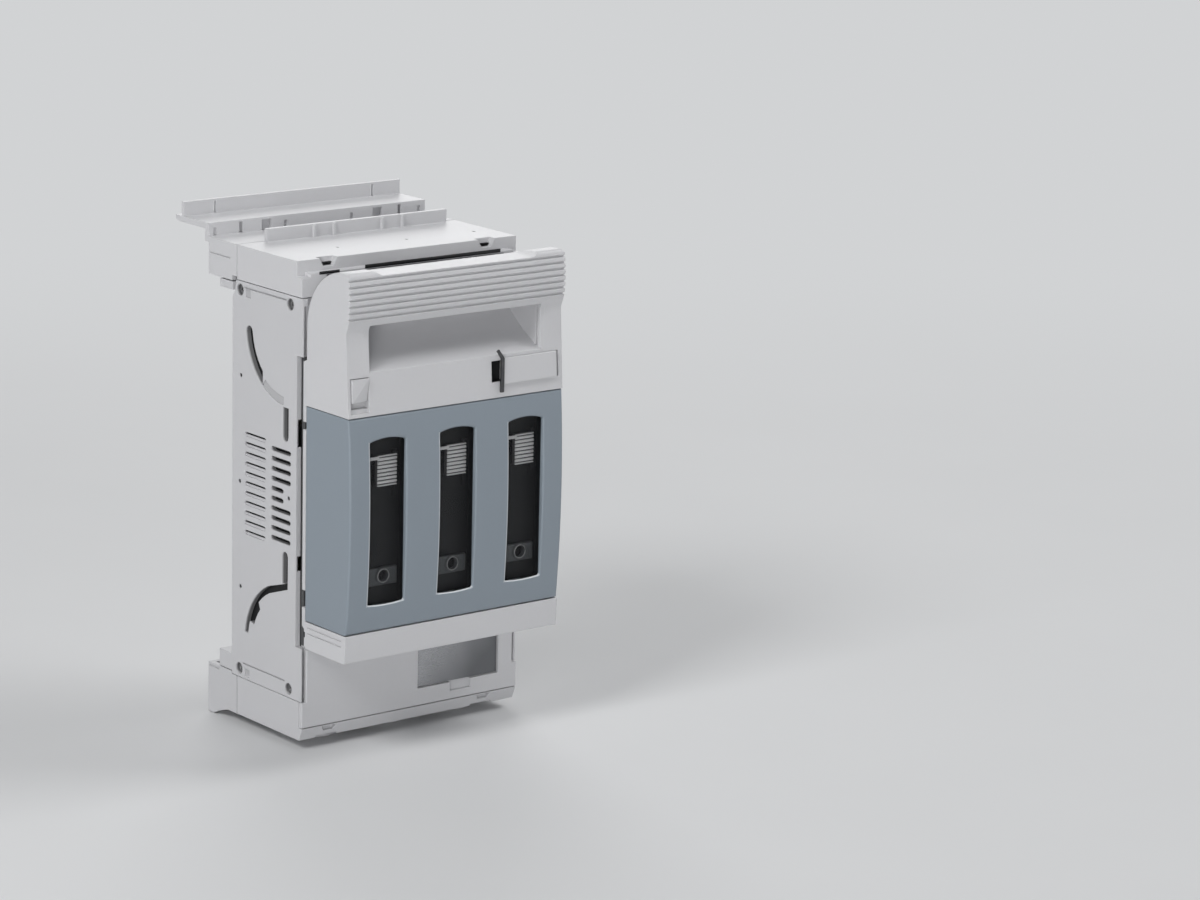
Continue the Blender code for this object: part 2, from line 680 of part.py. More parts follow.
COVER_LOW = SEAM_HIGH + FIT / 2
BAND_Y = TOP_COVER_FRONT + TOP_BAND_SETBACK
LEDGE_Z = TOP_COVER_HIGH - LEDGE_DROP
NOTCH_X = 38.2


def top_cover():
    body = box((-HALF, HALF), (TOP_COVER_FRONT, COVER_DEPTH), (COVER_LOW, TOP_COVER_HIGH))
    cross = box((-40.2, 47.6), (COVER_DEPTH - 1.9, COVER_DEPTH), (TOP_COVER_HIGH - 1, CROSS_WALL_HIGH))
    ribs = []
    for place in (-17.8, -8.2, 15.3, 25.3):
        ribs.append(
            box(
                (place - 0.6, place + 0.6),
                (COVER_DEPTH - 2.8, COVER_DEPTH - 1.8),
                (TOP_COVER_HIGH - 1, CROSS_WALL_HIGH - 0.3),
            )
        )
    join(body, cross, *ribs)
    room = (-HALF + WALL, HALF - WALL)
    tools = [
        box((-HALF - 1, HALF + 1), (TOP_COVER_FRONT - 1, BAND_Y), (LEDGE_Z, TOP_COVER_HIGH + 1)),
        box(room, (BAND_Y + WALL, COVER_DEPTH - WALL), (COVER_LOW - 1, TOP_COVER_HIGH - WALL)),
        box(room, (TOP_COVER_FRONT + WALL, BAND_Y + WALL + 1), (COVER_LOW - 1, LEDGE_Z - WALL)),
        box((-24.5, 44.3), (TOP_COVER_FRONT - 1, BAND_Y + WALL + 1), (COVER_LOW + 3, LEDGE_Z - 0.8)),
    ]
    for side in (-1, 1):
        corner = span(side, HALF - 4.0, HALF + 1)
        tools.append(box(corner, (TOP_COVER_FRONT - 1, BAND_Y), (LEDGE_Z - 1.4, LEDGE_Z + 1)))
        middle = side * NOTCH_X
        notch = [
            (middle - 4.2, TOP_COVER_HIGH + 1),
            (middle - 4.0, TOP_COVER_HIGH - 0.4),
            (middle - 2.3, TOP_COVER_HIGH - 3.3),
            (middle + 2.3, TOP_COVER_HIGH - 3.3),
            (middle + 4.0, TOP_COVER_HIGH - 0.4),
            (middle + 4.2, TOP_COVER_HIGH + 1),
        ]
        tools.append(prism(notch, "y", BAND_Y - 1, BAND_Y + WALL + 1))
    corner_notch = [(-41.5, LEDGE_Z - 0.9), (-37.9, LEDGE_Z - 0.9), (-41.2, LEDGE_Z - 4.5)]
    tools.append(prism(corner_notch, "y", TOP_COVER_FRONT - 1, TOP_COVER_FRONT + WALL + 1))
    for pole in POLES:
        hole = circle((pole + 10.6, 21.5), 0.8, 8)
        tools.append(prism(hole, "z", TOP_COVER_HIGH - WALL - 1, TOP_COVER_HIGH + 1))
    cut(body, *tools)
    return finish(body, "top_cover", pale_plastic, (0.0, 0.0, COVER_LOW))


top_cover()


def top_rear_shroud():
    front = COVER_DEPTH + FIT
    low = SEAM_HIGH - 0.8
    deck = TOP_COVER_HIGH
    sheet = [
        (front, deck),
        (SHELF_STEP_Y, deck),
        (SHELF_STEP_Y, SHELF_HIGH),
        (SHELF_BACK, SHELF_HIGH),
        (SHELF_BACK, SHELF_HIGH - SHELF_WALL + 0.8),
        (SHELF_BACK - 2, SHELF_HIGH - SHELF_WALL),
        (SHELF_STEP_Y + WALL, SHELF_HIGH - SHELF_WALL),
        (SHELF_STEP_Y + WALL, deck - WALL),
        (SHROUD_BACK, deck - WALL),
        (SHROUD_BACK, low),
        (SHROUD_BACK - WALL, low),
        (SHROUD_BACK - WALL, deck - WALL),
        (front, deck - WALL),
    ]
    body = prism(sheet, "x", -HALF, HALF)
    side_wall = [(front, low), (SHROUD_BACK - 0.5, low), (SHROUD_BACK - 0.5, deck - 0.5), (front, deck - 0.5)]
    parts = [prism(side_wall, "x", *span(side, HALF - WALL, HALF)) for side in (-1, 1)]
    parts.append(box((-HALF, HALF), (FLANGE_Y, FLANGE_Y + FLANGE_WALL), (SHELF_HIGH - 1, FLANGE_HIGH)))
    join(body, *parts)
    tools = []
    for place in (-38.3, 38.9):
        slit = (SHELF_HIGH, FLANGE_HIGH - 0.9)
        tools.append(box((place - 0.65, place + 0.65), (FLANGE_Y - 1, FLANGE_Y + FLANGE_WALL + 1), slit))
    step = SHELF_STEP_Y
    for place in (-37.5, 40.0):
        tools.append(box((place - 0.8, place + 0.8), (step - 1, step + 1.6), (deck, SHELF_HIGH - 0.9)))
    for place in (-25.3, 29.0):
        tools.append(box((place - 2.2, place + 2.2), (step - 1.2, step + 1.6), (deck - 1.4, SHELF_HIGH - 1.0)))
    for place in (-49.8, -16.2, 16.2, 49.8):
        tools.append(box((place - 0.7, place + 0.7), (step - 1, step + 0.7), (deck, SHELF_HIGH - 2.2)))
    for side in (-1, 1):
        skin = span(side, HALF - 0.4, HALF + 1)
        tools.append(box(skin, (front + 4.8, SHROUD_BACK - 0.8), (deck - 6.5, deck - 6.0)))
        tools.append(box(span(side, HALF - WALL - 1, HALF + 1), (front - 1, front + 3.2), (low - 1, low + 2.0)))
    cut(body, *tools)
    return finish(body, "top_rear_shroud", pale_plastic, (0.0, front, low))


top_rear_shroud()


# Bottom terminal cover with its cable collars, and the shroud behind it

BOTTOM_TOP = SEAM_LOW - FIT / 2


def outlet_outline(pole, growth=0.0):
    half = OUTLET_LENGTH / 2 + growth
    upright = slot(OUTLET_Y - half, OUTLET_Y + half, 0.0, OUTLET_WIDTH + 2 * growth, 6)
    return [(pole + across, along) for along, across in upright]


def bottom_cover():
    back = COVER_DEPTH - 0.8
    low = BOTTOM_COVER_LOW
    wall_front = PANEL_WALL + FIT
    outline = [
        (LIP_LEAN, low),
        (back, low),
        (back, BOTTOM_TOP),
        (wall_front, BOTTOM_TOP),
        (wall_front, LIP_HIGH),
        (0.0, LIP_HIGH),
    ]
    body = prism(outline, "x", -HALF, HALF)
    half = HALF - WALL
    tools = [
        box((-half, half), (wall_front + WALL, back + 1), (low + WALL, BOTTOM_TOP + 1)),
        box((-half, half), (wall_front - 1, wall_front + WALL + 1), (LIP_HIGH, BOTTOM_TOP + 1)),
    ]
    for side in (-1, 1):
        middle = side * NOTCH_X - 1.5
        notch = [(middle - 3.4, LIP_HIGH - 0.5), (middle - 2.2, LIP_HIGH - 2.4), (middle + 2.2, LIP_HIGH - 2.4)]
        notch.append((middle + 3.4, LIP_HIGH - 0.5))
        tools.append(prism(notch, "y", -1.0, LIP_LEAN + 0.2))
        foot = box((middle - 5.5, middle + 5.0), (-1.0, LIP_LEAN + 2.0), (low - 1, low + 0.9))
        tools.append(foot)
    cut(body, *tools)
    collars = [prism(outlet_outline(pole, WALL), "z", 0.0, low + 1) for pole in POLES]
    join(body, *collars)
    cut(body, *[prism(outlet_outline(pole), "z", -1.0, low + WALL + 1) for pole in POLES])
    return finish(body, "bottom_cover", pale_plastic, (0.0, 0.0, BOTTOM_TOP))


bottom_cover()


def bottom_rear_shroud():
    front = COVER_DEPTH - 0.5
    high = SEAM_LOW + 1.0
    step = PLATE_DEPTH + FIT
    outline = [
        (front, BOTTOM_COVER_LOW),
        (front + 6.3, BOTTOM_COVER_LOW),
        (front + 12.2, BOTTOM_COVER_LOW - 1.7),
        (SHROUD_BACK - 4.0, 0.0),
        (SHROUD_BACK, 0.0),
        (SHROUD_BACK, high),
        (step, high),
        (step, BOTTOM_TOP),
        (front, BOTTOM_TOP),
    ]
    room = [
        (front - 1, BOTTOM_COVER_LOW + WALL),
        (front + 6.8, BOTTOM_COVER_LOW + WALL),
        (front + 12.8, BOTTOM_COVER_LOW - 1.7 + WALL),
        (SHROUD_BACK - 3.6, WALL),
        (SHROUD_BACK - WALL, WALL),
        (SHROUD_BACK - WALL, high + 1),
        (front - 1, high + 1),
    ]
    body = prism(outline, "x", -HALF, HALF)
    cut(body, prism(room, "x", -HALF + WALL, HALF - WALL))
    groove = [box(span(s, HALF - 0.4, HALF + 1), (BEAM_BACK, SHROUD_BACK - 0.8), (high - 1.6, high - 1.0)) for s in (-1, 1)]
    cut(body, *groove)
    return finish(body, "bottom_rear_shroud", pale_plastic, (0.0, front, high))


bottom_rear_shroud()


# Lid frame: one moulding with the ribbed grip, the finger recess, the rails and the strip

FRAME_LOW = COVER_TOP + FIT
GRIP_LOW = GRIP_TOP_GROOVE - (GROOVES - 1) * GROOVE_PITCH - 0.8
SLOPE_Z = GRIP_LOW - 5.0
FACE_BACK = LID_FRONT + 2.3
RIM = 2.4
SADDLE_Z = LID_HIGH - SADDLE_DROP
SKIRT_TOP = STEP_HIGH - 3 * FIT


def face_y(level):
    """Front of the flat face under the grip, which leans back as it rises."""
    share = (level - FRAME_LOW) / (SLOPE_Z - FRAME_LOW)
    return LID_FRONT + 0.2 + share * (FACE_BACK - LID_FRONT - 0.2)


def grip_bulge(level):
    """Front of the ribbed grip, which bulges half way up."""
    half = (LID_HIGH - GRIP_LOW) / 2
    away = (level - GRIP_LOW - half * 0.85) / half
    return LID_FRONT - 0.3 + 0.9 * away * away


def grip_front(inset):
    """Front of the lid frame from the bottom to the top, with its grooves if there is no inset."""
    points = [(face_y(FRAME_LOW) + inset, FRAME_LOW - inset), (FACE_BACK + inset, SLOPE_Z)]
    points.append((grip_bulge(GRIP_LOW) + inset, GRIP_LOW))
    if inset:
        return points
    for index in range(GROOVES):
        level = GRIP_TOP_GROOVE - (GROOVES - 1 - index) * GROOVE_PITCH
        front = grip_bulge(level)
        points += [
            (grip_bulge(level - 0.55), level - 0.55),
            (front + GROOVE_DEPTH, level - 0.2),
            (front + GROOVE_DEPTH, level + 0.2),
            (grip_bulge(level + 0.55), level + 0.55),
        ]
    return points


def cheek_outline(inset=0.0):
    """The lid frame seen from the side, with the large round corner at the top of its back."""
    centre = (LID_BACK - CHEEK_RADIUS, LID_HIGH - CHEEK_RADIUS)
    if inset:
        back = arc(centre, CHEEK_RADIUS - inset, 84, 0, 10)
        back = [(depth, min(level, SADDLE_Z - inset)) for depth, level in back[3:]]
        nose = [(grip_bulge(SADDLE_Z) + inset, SADDLE_Z - inset)]
        return grip_front(inset) + nose + back + [(SKIRT_BACK + 1, centre[1]), (SKIRT_BACK + 1, FRAME_LOW - inset)]
    corner = 1.9
    nose = arc((grip_bulge(LID_HIGH - corner) + corner, LID_HIGH - corner), corner, 168, 95, 4)
    back = arc(centre, CHEEK_RADIUS, 86, 0, 12)
    skirt = [(LID_BACK, SKIRT_TOP), (SKIRT_BACK, SKIRT_TOP - 1.0), (SKIRT_BACK, FRAME_LOW)]
    return grip_front(inset) + nose + back + skirt


def crown_cuts():
    """Tools that round the grip's upper ends and sink its top between the two cheeks."""
    depth = (LID_FRONT - 4, SKIRT_BACK + 4)
    round_end = 2.2
    inner = LID_HALF - CHEEK_WIDTH
    ramp = [(inner, LID_HIGH + 0.1), (inner - 1.2, LID_HIGH - 0.15), (inner - 2.6, LID_HIGH - 0.55)]
    ramp += [(inner - 3.8, SADDLE_Z + 0.5), (inner - 5.0, SADDLE_Z + 0.1), (inner - 5.8, SADDLE_Z)]
    saddle = [(-x, z) for x, z in ramp] + ramp[::-1] + [(inner, LID_HIGH + 2), (-inner, LID_HIGH + 2)]
    tools = [prism(saddle, "y", *depth)]
    for side in (-1, 1):
        arc_points = arc((LID_HALF - round_end, LID_HIGH - round_end), round_end, 0, 90, 4)
        corner = [(LID_HALF + 1, LID_HIGH - round_end)] + arc_points
        corner += [(LID_HALF - round_end, LID_HIGH + 1), (LID_HALF + 1, LID_HIGH + 1)]
        tools.append(prism([(side * x, z) for x, z in corner], "y", *depth))
    return tools


def recess_outline(inset=0.0):
    """The finger recess seen from the side: a gently hollow floor that rises to the back."""
    start = (LID_FRONT, RECESS_LOW + 0.6)
    slope = math.radians(RECESS_SLOPE)
    centre = (start[0] - RECESS_RADIUS * math.sin(slope), start[1] + RECESS_RADIUS * math.cos(slope))
    radius = RECESS_RADIUS + inset
    front = LID_FRONT + 2.1 if inset else LID_FRONT - 2.0
    first = math.degrees(math.asin((front - centre[0]) / radius))
    floor = arc(centre, radius, first - 90, 43.0 - 90, 9)
    back = floor[-1][0]
    deep = [(back + 2.4, RECESS_HIGH - 2.6), (back + 3.3, RECESS_HIGH + inset)]
    return floor + deep + [(front, RECESS_HIGH + inset)]


POCKET_Y = -25.0
LOCK_LOW = FRAME_LOW + 5.3
TONGUE = 3.9
LATCH_X = (-LID_HALF + 1.4, -LID_HALF + 9.8)
LATCH_Z = (FRAME_LOW + 3.1, FRAME_LOW + 15.3)
LUG = 3.6
LUG_REACH = 3.6


def lid_frame():
    body = cut(prism(cheek_outline(), "x", -LID_HALF, LID_HALF), *crown_cuts())
    cut(body, prism(cheek_outline(RIM), "x", -LID_HALF + RIM, LID_HALF - RIM))
    between = LID_HALF - RIM
    cut(body, box((-between, between), (LID_BACK, SKIRT_BACK + 1), (FRAME_LOW - 1, LID_HIGH)))
    strip = [
        (LID_FRONT + 1.4, LID_LOW + 0.6),
        (LID_FRONT + 1.8, LID_LOW),
        (STRIP_BACK - 1.3, LID_LOW),
        (STRIP_BACK, LID_LOW + 1.3),
        (STRIP_BACK, HINGE_Z + 4.4),
        (SKIRT_BACK, HINGE_Z + 5.6),
        (SKIRT_BACK, STRIP_TOP - 0.3),
        (LID_FRONT + 0.9, STRIP_TOP),
    ]
    floor = LID_LOW + WALL
    trough = box((-LID_HALF + RIM, LID_HALF - RIM), (LID_FRONT + 1.4 + RIM, SKIRT_BACK + 1), (floor, STRIP_TOP + 1))
    skirt = cut(prism(strip, "x", -LID_HALF, LID_HALF), trough)
    pad = (LID_FRONT + 2.1, POCKET_Y + 2.2)
    left = LOCK_RIGHT - LOCK_LENGTH - LOCK_TRAVEL
    parts = [
        skirt,
        prism(recess_outline(WALL), "x", RECESS_LEFT - WALL, RECESS_RIGHT + WALL),
        box((left - 2, LID_HALF - 0.8), pad, (LOCK_LOW - 3.4, LOCK_LOW + LOCK_HEIGHT + 1.6)),
        box((-LID_HALF + 0.8, LATCH_X[1] + 2), (LID_FRONT + 1.6, POCKET_Y + 2.2), (FRAME_LOW, LATCH_Z[1] + 2)),
    ]
    for side in (-1, 1):
        rail = span(side, LID_HALF - 4.8, LID_HALF)
        parts.append(box(rail, (SKIRT_BACK - RAIL_WALL, SKIRT_BACK), (STRIP_TOP - 1, FRAME_LOW + 1)))
        rib = span(side, LID_HALF - 4.8, LID_HALF - WALL - FIT)
        parts.append(box(rib, (LID_BACK - 8, SKIRT_BACK - 0.5), (STRIP_TOP - 4, FRAME_LOW + 1)))
        for away in (-1, 1):
            middle = side * HINGE_X + away * (BRACKET + FIT + LUG / 2)
            lug = knuckle_outline(LUG_REACH, None, LID_LOW + 0.5)
            parts.append(prism(lug, "x", middle - LUG / 2, middle + LUG / 2))
    join(body, *parts)
    middle = LOCK_LOW + LOCK_HEIGHT / 2
    tools = [
        prism(recess_outline(), "x", RECESS_LEFT, RECESS_RIGHT),
        box((RECESS_RIGHT - 1, RECESS_RIGHT + 0.8), (LID_FRONT + 3.4, LID_FRONT + 4.6), (RECESS_LOW + 2, RECESS_HIGH)),
        box((RECESS_RIGHT - 2.6, RECESS_RIGHT + 0.8), (LID_FRONT + 3.4, LID_FRONT + 4.6), (RECESS_HIGH - 1, RECESS_HIGH + 0.9)),
        box(
            (left - FIT, LOCK_RIGHT - 3.5), (LID_FRONT - 2, POCKET_Y), (middle - TONGUE - FIT, middle + TONGUE + FIT)
        ),
        box((LOCK_RIGHT + FIT, LOCK_RIGHT + 1.6), (LID_FRONT - 2, POCKET_Y - 1.2), (LOCK_LOW, LOCK_LOW + LOCK_HEIGHT)),
        box(LATCH_X, (LID_FRONT - 2, POCKET_Y), LATCH_Z),
        box(LATCH_X, (LID_FRONT - 2, LID_FRONT + 1.4), (LATCH_Z[0] - 1.7, LATCH_Z[1])),
    ]
    for side in (-1, 1):
        notch = span(side, HINGE_X - BRACKET - 0.4, HINGE_X + BRACKET + 0.4)
        tools.append(box(notch, (HINGE_Y - KNUCKLE - 1.2, SKIRT_BACK + 1), (LID_LOW - 1, floor + 1)))
        reach = BRACKET + FIT + LUG + 1
        eye = circle((HINGE_Y, HINGE_Z), PIN_RADIUS + FIT, 20)
        tools.append(prism(eye, "x", *span(side, HINGE_X - reach, HINGE_X + reach)))
        rail = span(side, LID_HALF - 5.5, LID_HALF + 1)
        for low, high in ((MID + 29.3, MID + 32.4), (MID - 42.2, MID - 35.2), (STRIP_TOP - 6.7, STRIP_TOP - 4.5)):
            tools.append(box(rail, (SKIRT_BACK - RAIL_WALL - 0.1, SKIRT_BACK + 1), (low, high)))
        for drop in (2.4, 4.7):
            skin = span(side, LID_HALF - 0.4, LID_HALF + 1)
            groove = (STRIP_TOP - drop - 0.25, STRIP_TOP - drop + 0.25)
            tools.append(box(skin, (LID_FRONT + 4.0, LID_BACK - 1.0), groove))
    cut(body, *tools)
    return finish(body, "lid_frame", pale_plastic, (0.0, HINGE_Y, HINGE_Z), lid_axis)


lid_frame()


# Lid cover: the bowed front with its three windows

COVER_BOTTOM = STRIP_TOP + FIT
BOW_CENTRE, BOW_RADIUS = circle_through((LID_FRONT + 0.9, COVER_BOTTOM), (LID_BOW, (COVER_BOTTOM + COVER_TOP) / 2), (LID_FRONT + 0.2, COVER_TOP))
PANE_FRONT = LID_BOW + WALL + FIT
PANE_BACK = PANE_FRONT + PANE_WALL
CARRIER_FRONT = PANE_BACK + 3.3


def bow(low, high, inset=0.0, steps=10):
    radius = BOW_RADIUS - inset
    first = 180 - math.degrees(math.asin((low - BOW_CENTRE[1]) / radius))
    last = 180 - math.degrees(math.asin((high - BOW_CENTRE[1]) / radius))
    return arc(BOW_CENTRE, radius, first, last, steps)


def window_outline(growth=0.0):
    """A window seen from the front, with an arched top and a slightly arched bottom."""
    half = WINDOW_WIDTH / 2 + growth
    low = WINDOW_LOW - growth
    high = WINDOW_HIGH + growth
    top, top_radius = circle_through((-half, high), (0.0, high + WINDOW_RISE), (half, high))
    foot, foot_radius = circle_through((-half, low), (0.0, low - 0.5), (half, low))
    open_angle = math.degrees(math.asin(half / top_radius))
    foot_angle = math.degrees(math.asin(half / foot_radius))
    points = arc(top, top_radius, 90 - open_angle, 90 + open_angle, 6)
    return points + arc(foot, foot_radius, 270 - foot_angle, 270 + foot_angle, 4)


def lid_cover():
    back = SKIRT_BACK - RAIL_WALL - FIT
    outline = bow(COVER_BOTTOM, COVER_TOP) + [(back, COVER_TOP), (back, COVER_BOTTOM)]
    shape = prism_shape(outline, "x", -LID_HALF, LID_HALF)
    edges = []
    for edge in shape.edges:
        if all(abs(abs(v.co.x) - LID_HALF * MM) < 1e-6 and v.co.y < -0.02 for v in edge.verts):
            edges.append(edge)
    bmesh.ops.bevel(shape, geom=edges, offset=1.0 * MM, segments=2, affect="EDGES", profile=0.5)
    body = build_mesh("lid_cover", shape)
    inner = bow(COVER_BOTTOM - 1, COVER_TOP + 1, WALL)
    inner += [(SKIRT_BACK, COVER_TOP + 1), (SKIRT_BACK, COVER_BOTTOM - 1)]
    cut(body, prism(inner, "x", -LID_HALF + WALL, LID_HALF - WALL))
    bosses = []
    for pole in POLES:
        for low in (WINDOW_LOW - PANE_LAP - 3.6, WINDOW_HIGH + WINDOW_RISE + PANE_LAP + 0.6):
            bosses.append(box((pole - 3, pole + 3), (LID_BOW + 1.6, CARRIER_FRONT - FIT), (low, low + 3.0)))
    join(body, *bosses)
    tools = []
    for pole in POLES:
        hole = [(pole + x, z) for x, z in window_outline()]
        rebate = [(pole + x, z) for x, z in window_outline(PANE_LAP + FIT)]
        tools.append(prism(hole, "y", LID_BOW - 2, LID_BOW + 6))
        tools.append(prism(rebate, "y", LID_BOW + WALL, LID_BOW + WALL + 4))
    cut(body, *tools)
    return finish(body, "lid_cover", blue_plastic, (0.0, HINGE_Y, HINGE_Z), lid_axis)


lid_cover()


# Behind each window: the pane, the dark carrier, the ribbed catch and the test plate

CATCH_Z = (WINDOW_HIGH - 19.7, WINDOW_HIGH - 5.1)
TEST_Z = (WINDOW_LOW + 4.9, WINDOW_LOW + 15.4)


def window_pane():
    return prism(window_outline(PANE_LAP), "y", PANE_FRONT, PANE_BACK)


def fuse_carrier():
    """The dark plate that carries the fuse link, with guides for the catch and two claws."""
    low = WINDOW_LOW - PANE_LAP - 3.6
    high = WINDOW_HIGH + WINDOW_RISE + PANE_LAP + 3.6
    back = CARRIER_FRONT + CARRIER_WALL
    half = WINDOW_WIDTH / 2 + CARRIER_LAP
    body = box((-half, half), (CARRIER_FRONT, back), (low, high))
    parts = []
    for side in (-1, 1):
        guide = span(side, CATCH_WIDTH / 2 + FIT, CATCH_WIDTH / 2 + FIT + 1.5)
        parts.append(box(guide, (CARRIER_FRONT - 1.7, CARRIER_FRONT + 0.5), (CATCH_Z[0] - CATCH_TRAVEL, CATCH_Z[1])))
    for up in (-1, 1):
        root = MID + up * 31.0
        claw = [(back - 0.5, root), (back + 7.0, root), (back + 7.0, root - up * 2.4)]
        claw += [(back + 5.0, root - up * 2.4), (back + 5.0, root - up * 1.6), (back - 0.5, root - up * 2.4)]
        parts.append(prism(claw, "x", -6.0, 6.0))
    return join(body, *parts)


def fuse_catch():
    """The ribbed slide that lets the fuse link go when it is pushed down."""
    low, high = CATCH_Z
    back = CARRIER_FRONT - FIT
    front = back - 1.5
    ribs = 8
    pitch = (high - low) / ribs
    outline = [(back, low)]
    for index in range(ribs):
        base = low + index * pitch
        outline += [(front, base + 0.05), (front - 0.9, base + pitch * 0.35)]
        outline += [(front - 0.9, base + pitch * 0.6), (front, base + pitch * 0.9)]
    outline.append((back, high))
    body = prism(outline, "x", -CATCH_WIDTH / 2, CATCH_WIDTH / 2)
    tab = box((-CATCH_WIDTH / 2 - 2.4, -CATCH_WIDTH / 2 + 0.6), (CARRIER_FRONT - 3.0, CARRIER_FRONT - 2.0), (high - 6.5, high - 4.0))
    return join(body, tab)


def test_plate():
    """The lower plate with the ringed hole for a test probe."""
    low, high = TEST_Z
    back = CARRIER_FRONT - FIT
    body = box((-TEST_WIDTH / 2, TEST_WIDTH / 2), (back - 1.6, back), TEST_Z)
    middle = (0.0, (low + high) / 2)
    ring = prism(circle(middle, 3.4, 20), "y", back - 2.2, back - 0.5)
    join(body, ring)
    return cut(body, prism(circle(middle, 2.1, 20), "y", back - 4, back + 1))


for maker, stem, material, level in (
    (window_pane, "window_pane_", smoked_pane, WINDOW_LOW),
    (fuse_carrier, "fuse_carrier_", dark_plastic, MID),
    (fuse_catch, "fuse_catch_", pale_plastic, CATCH_Z[0]),
    (test_plate, "test_plate_", grey_plastic, TEST_Z[0]),
):
    first = finish(maker(), stem + "1", material, (0.0, CARRIER_FRONT, level), lid_axis)
    first.location.x += POLES[0] * MM
    copy_piece(first, stem + "2", (POLES[1] - POLES[0], 0.0, 0.0))
    copy_piece(first, stem + "3", (POLES[2] - POLES[0], 0.0, 0.0))


# Lock slider, lid catch and hinge pins

def lock_slider():
    """A plate that slides over the face, on a tongue that runs in the pocket behind it."""
    low, high = LOCK_LOW, LOCK_LOW + LOCK_HEIGHT
    left = LOCK_RIGHT - LOCK_LENGTH
    back = [(face_y(low) - FIT, low), (face_y(high) - FIT, high)]
    front = [(depth - LOCK_WALL, level) for depth, level in back]
    body = prism(back + front[::-1], "x", left, LOCK_RIGHT)
    middle = (low + high) / 2
    reach = (face_y(middle) - FIT - LOCK_WALL / 2, POCKET_Y - FIT)
    tongue = box((left + 0.4, LOCK_RIGHT - 3.5 - FIT), reach, (middle - TONGUE, middle + TONGUE))
    join(body, tongue)
    return finish(body, "lock_slider", pale_plastic, (left, LID_FRONT, middle), lid_axis)


def lock_hasp():
    """A bent steel strip at the slider's left end, with a slanted tip that reaches over the recess."""
    left = LOCK_RIGHT - LOCK_LENGTH - FIT
    low, high = LOCK_LOW - 3.2, LOCK_LOW + LOCK_HEIGHT
    outline = [(left, low), (left, high + 0.2), (left - 2.6, high + 3.8), (left - 3.6, high + 3.2)]
    outline += [(left - 1.5, high), (left - 1.5, low)]
    front = face_y(low) - FIT - LOCK_WALL
    return finish(prism(outline, "y", front, front + 0.8), "lock_hasp", steel, (left, front, low), lid_axis)


lock_slider()
lock_hasp()


def lid_catch():
    """A small slide with a slanted facet, which runs down in its pocket."""
    x = (LATCH_X[0] + FIT, LATCH_X[1] - FIT)
    low = LATCH_Z[0] + LATCH_TRAVEL + FIT
    high = LATCH_Z[1] - FIT
    shape = prism_shape([(x[0], LID_FRONT), (x[1], LID_FRONT), (x[1], POCKET_Y - FIT), (x[0], POCKET_Y - FIT)], "z", low, high)
    corner = Vector((x[1], LID_FRONT, high)) * MM
    cut_plane = bmesh.ops.bisect_plane(
        shape,
        geom=list(shape.verts) + list(shape.edges) + list(shape.faces),
        plane_co=corner,
        plane_no=Vector((0.2, -1.0, -0.17)),
        clear_outer=True,
    )
    rim = [item for item in cut_plane["geom_cut"] if isinstance(item, bmesh.types.BMEdge)]
    bmesh.ops.contextual_create(shape, geom=rim)
    return finish(build_mesh("lid_catch", shape), "lid_catch", pale_plastic, (x[0], LID_FRONT, low), lid_axis)


lid_catch()

for side, name in ((-1, "hinge_pin_left"), (1, "hinge_pin_right")):
    reach = BRACKET + FIT + LUG
    pin = prism(circle((HINGE_Y, HINGE_Z), PIN_RADIUS, 20), "x", *span(side, HINGE_X - reach, HINGE_X + reach))
    finish(pin, name, steel, (side * HINGE_X, HINGE_Y, HINGE_Z))
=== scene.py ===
# %% [markdown]
# # Dressing a fuse switch disconnector
# The real thing is a narrow box of light grey moulded plastic that hooks onto three copper bars.
# Its front is a lid with a ribbed grip, a blue-grey panel and three windows, one in front of each
# fuse carrier. The exact shapes come from a CAD model, which is loaded here as a fixed frame. This
# script adds what CAD leaves out: surfaces that look like plastic, metal and clear panes, the
# small fasteners, the light and the camera.

# %% Load the frame
import json
import math

import bmesh
import bpy
from mathutils import Matrix, Vector


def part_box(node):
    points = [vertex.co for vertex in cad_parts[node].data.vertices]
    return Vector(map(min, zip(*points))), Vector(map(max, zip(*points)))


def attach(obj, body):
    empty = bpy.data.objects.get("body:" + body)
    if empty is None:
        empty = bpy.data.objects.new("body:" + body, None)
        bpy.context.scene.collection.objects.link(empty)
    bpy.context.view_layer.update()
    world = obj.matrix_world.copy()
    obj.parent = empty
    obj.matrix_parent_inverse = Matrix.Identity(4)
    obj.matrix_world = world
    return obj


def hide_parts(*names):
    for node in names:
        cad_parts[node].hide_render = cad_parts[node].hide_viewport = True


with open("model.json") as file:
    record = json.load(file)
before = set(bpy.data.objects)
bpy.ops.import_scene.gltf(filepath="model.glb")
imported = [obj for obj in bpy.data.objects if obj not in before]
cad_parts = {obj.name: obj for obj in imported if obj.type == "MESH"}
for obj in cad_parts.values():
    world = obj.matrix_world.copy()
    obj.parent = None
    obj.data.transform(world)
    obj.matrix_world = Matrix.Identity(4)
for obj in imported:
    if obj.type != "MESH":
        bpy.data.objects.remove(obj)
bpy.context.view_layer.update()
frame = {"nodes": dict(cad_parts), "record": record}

MM = 0.001
POLES = (1, 2, 3)
SIDES = (("left", -1), ("right", 1))


def in_mm(values):
    """Metres as rounded millimetres, for printing."""
    return [round(value / MM, 1) for value in values]


# %% [markdown]
# ## The camera
# A photograph is easiest to match when the camera stands where the photographer's did. The
# corners of the box were measured in the picture, and the angles and the distance below are the
# ones that lay the CAD model's corners on them. The lens is long, so the box looks almost
# without perspective, as a product picture should. Lengths are in millimetres here.

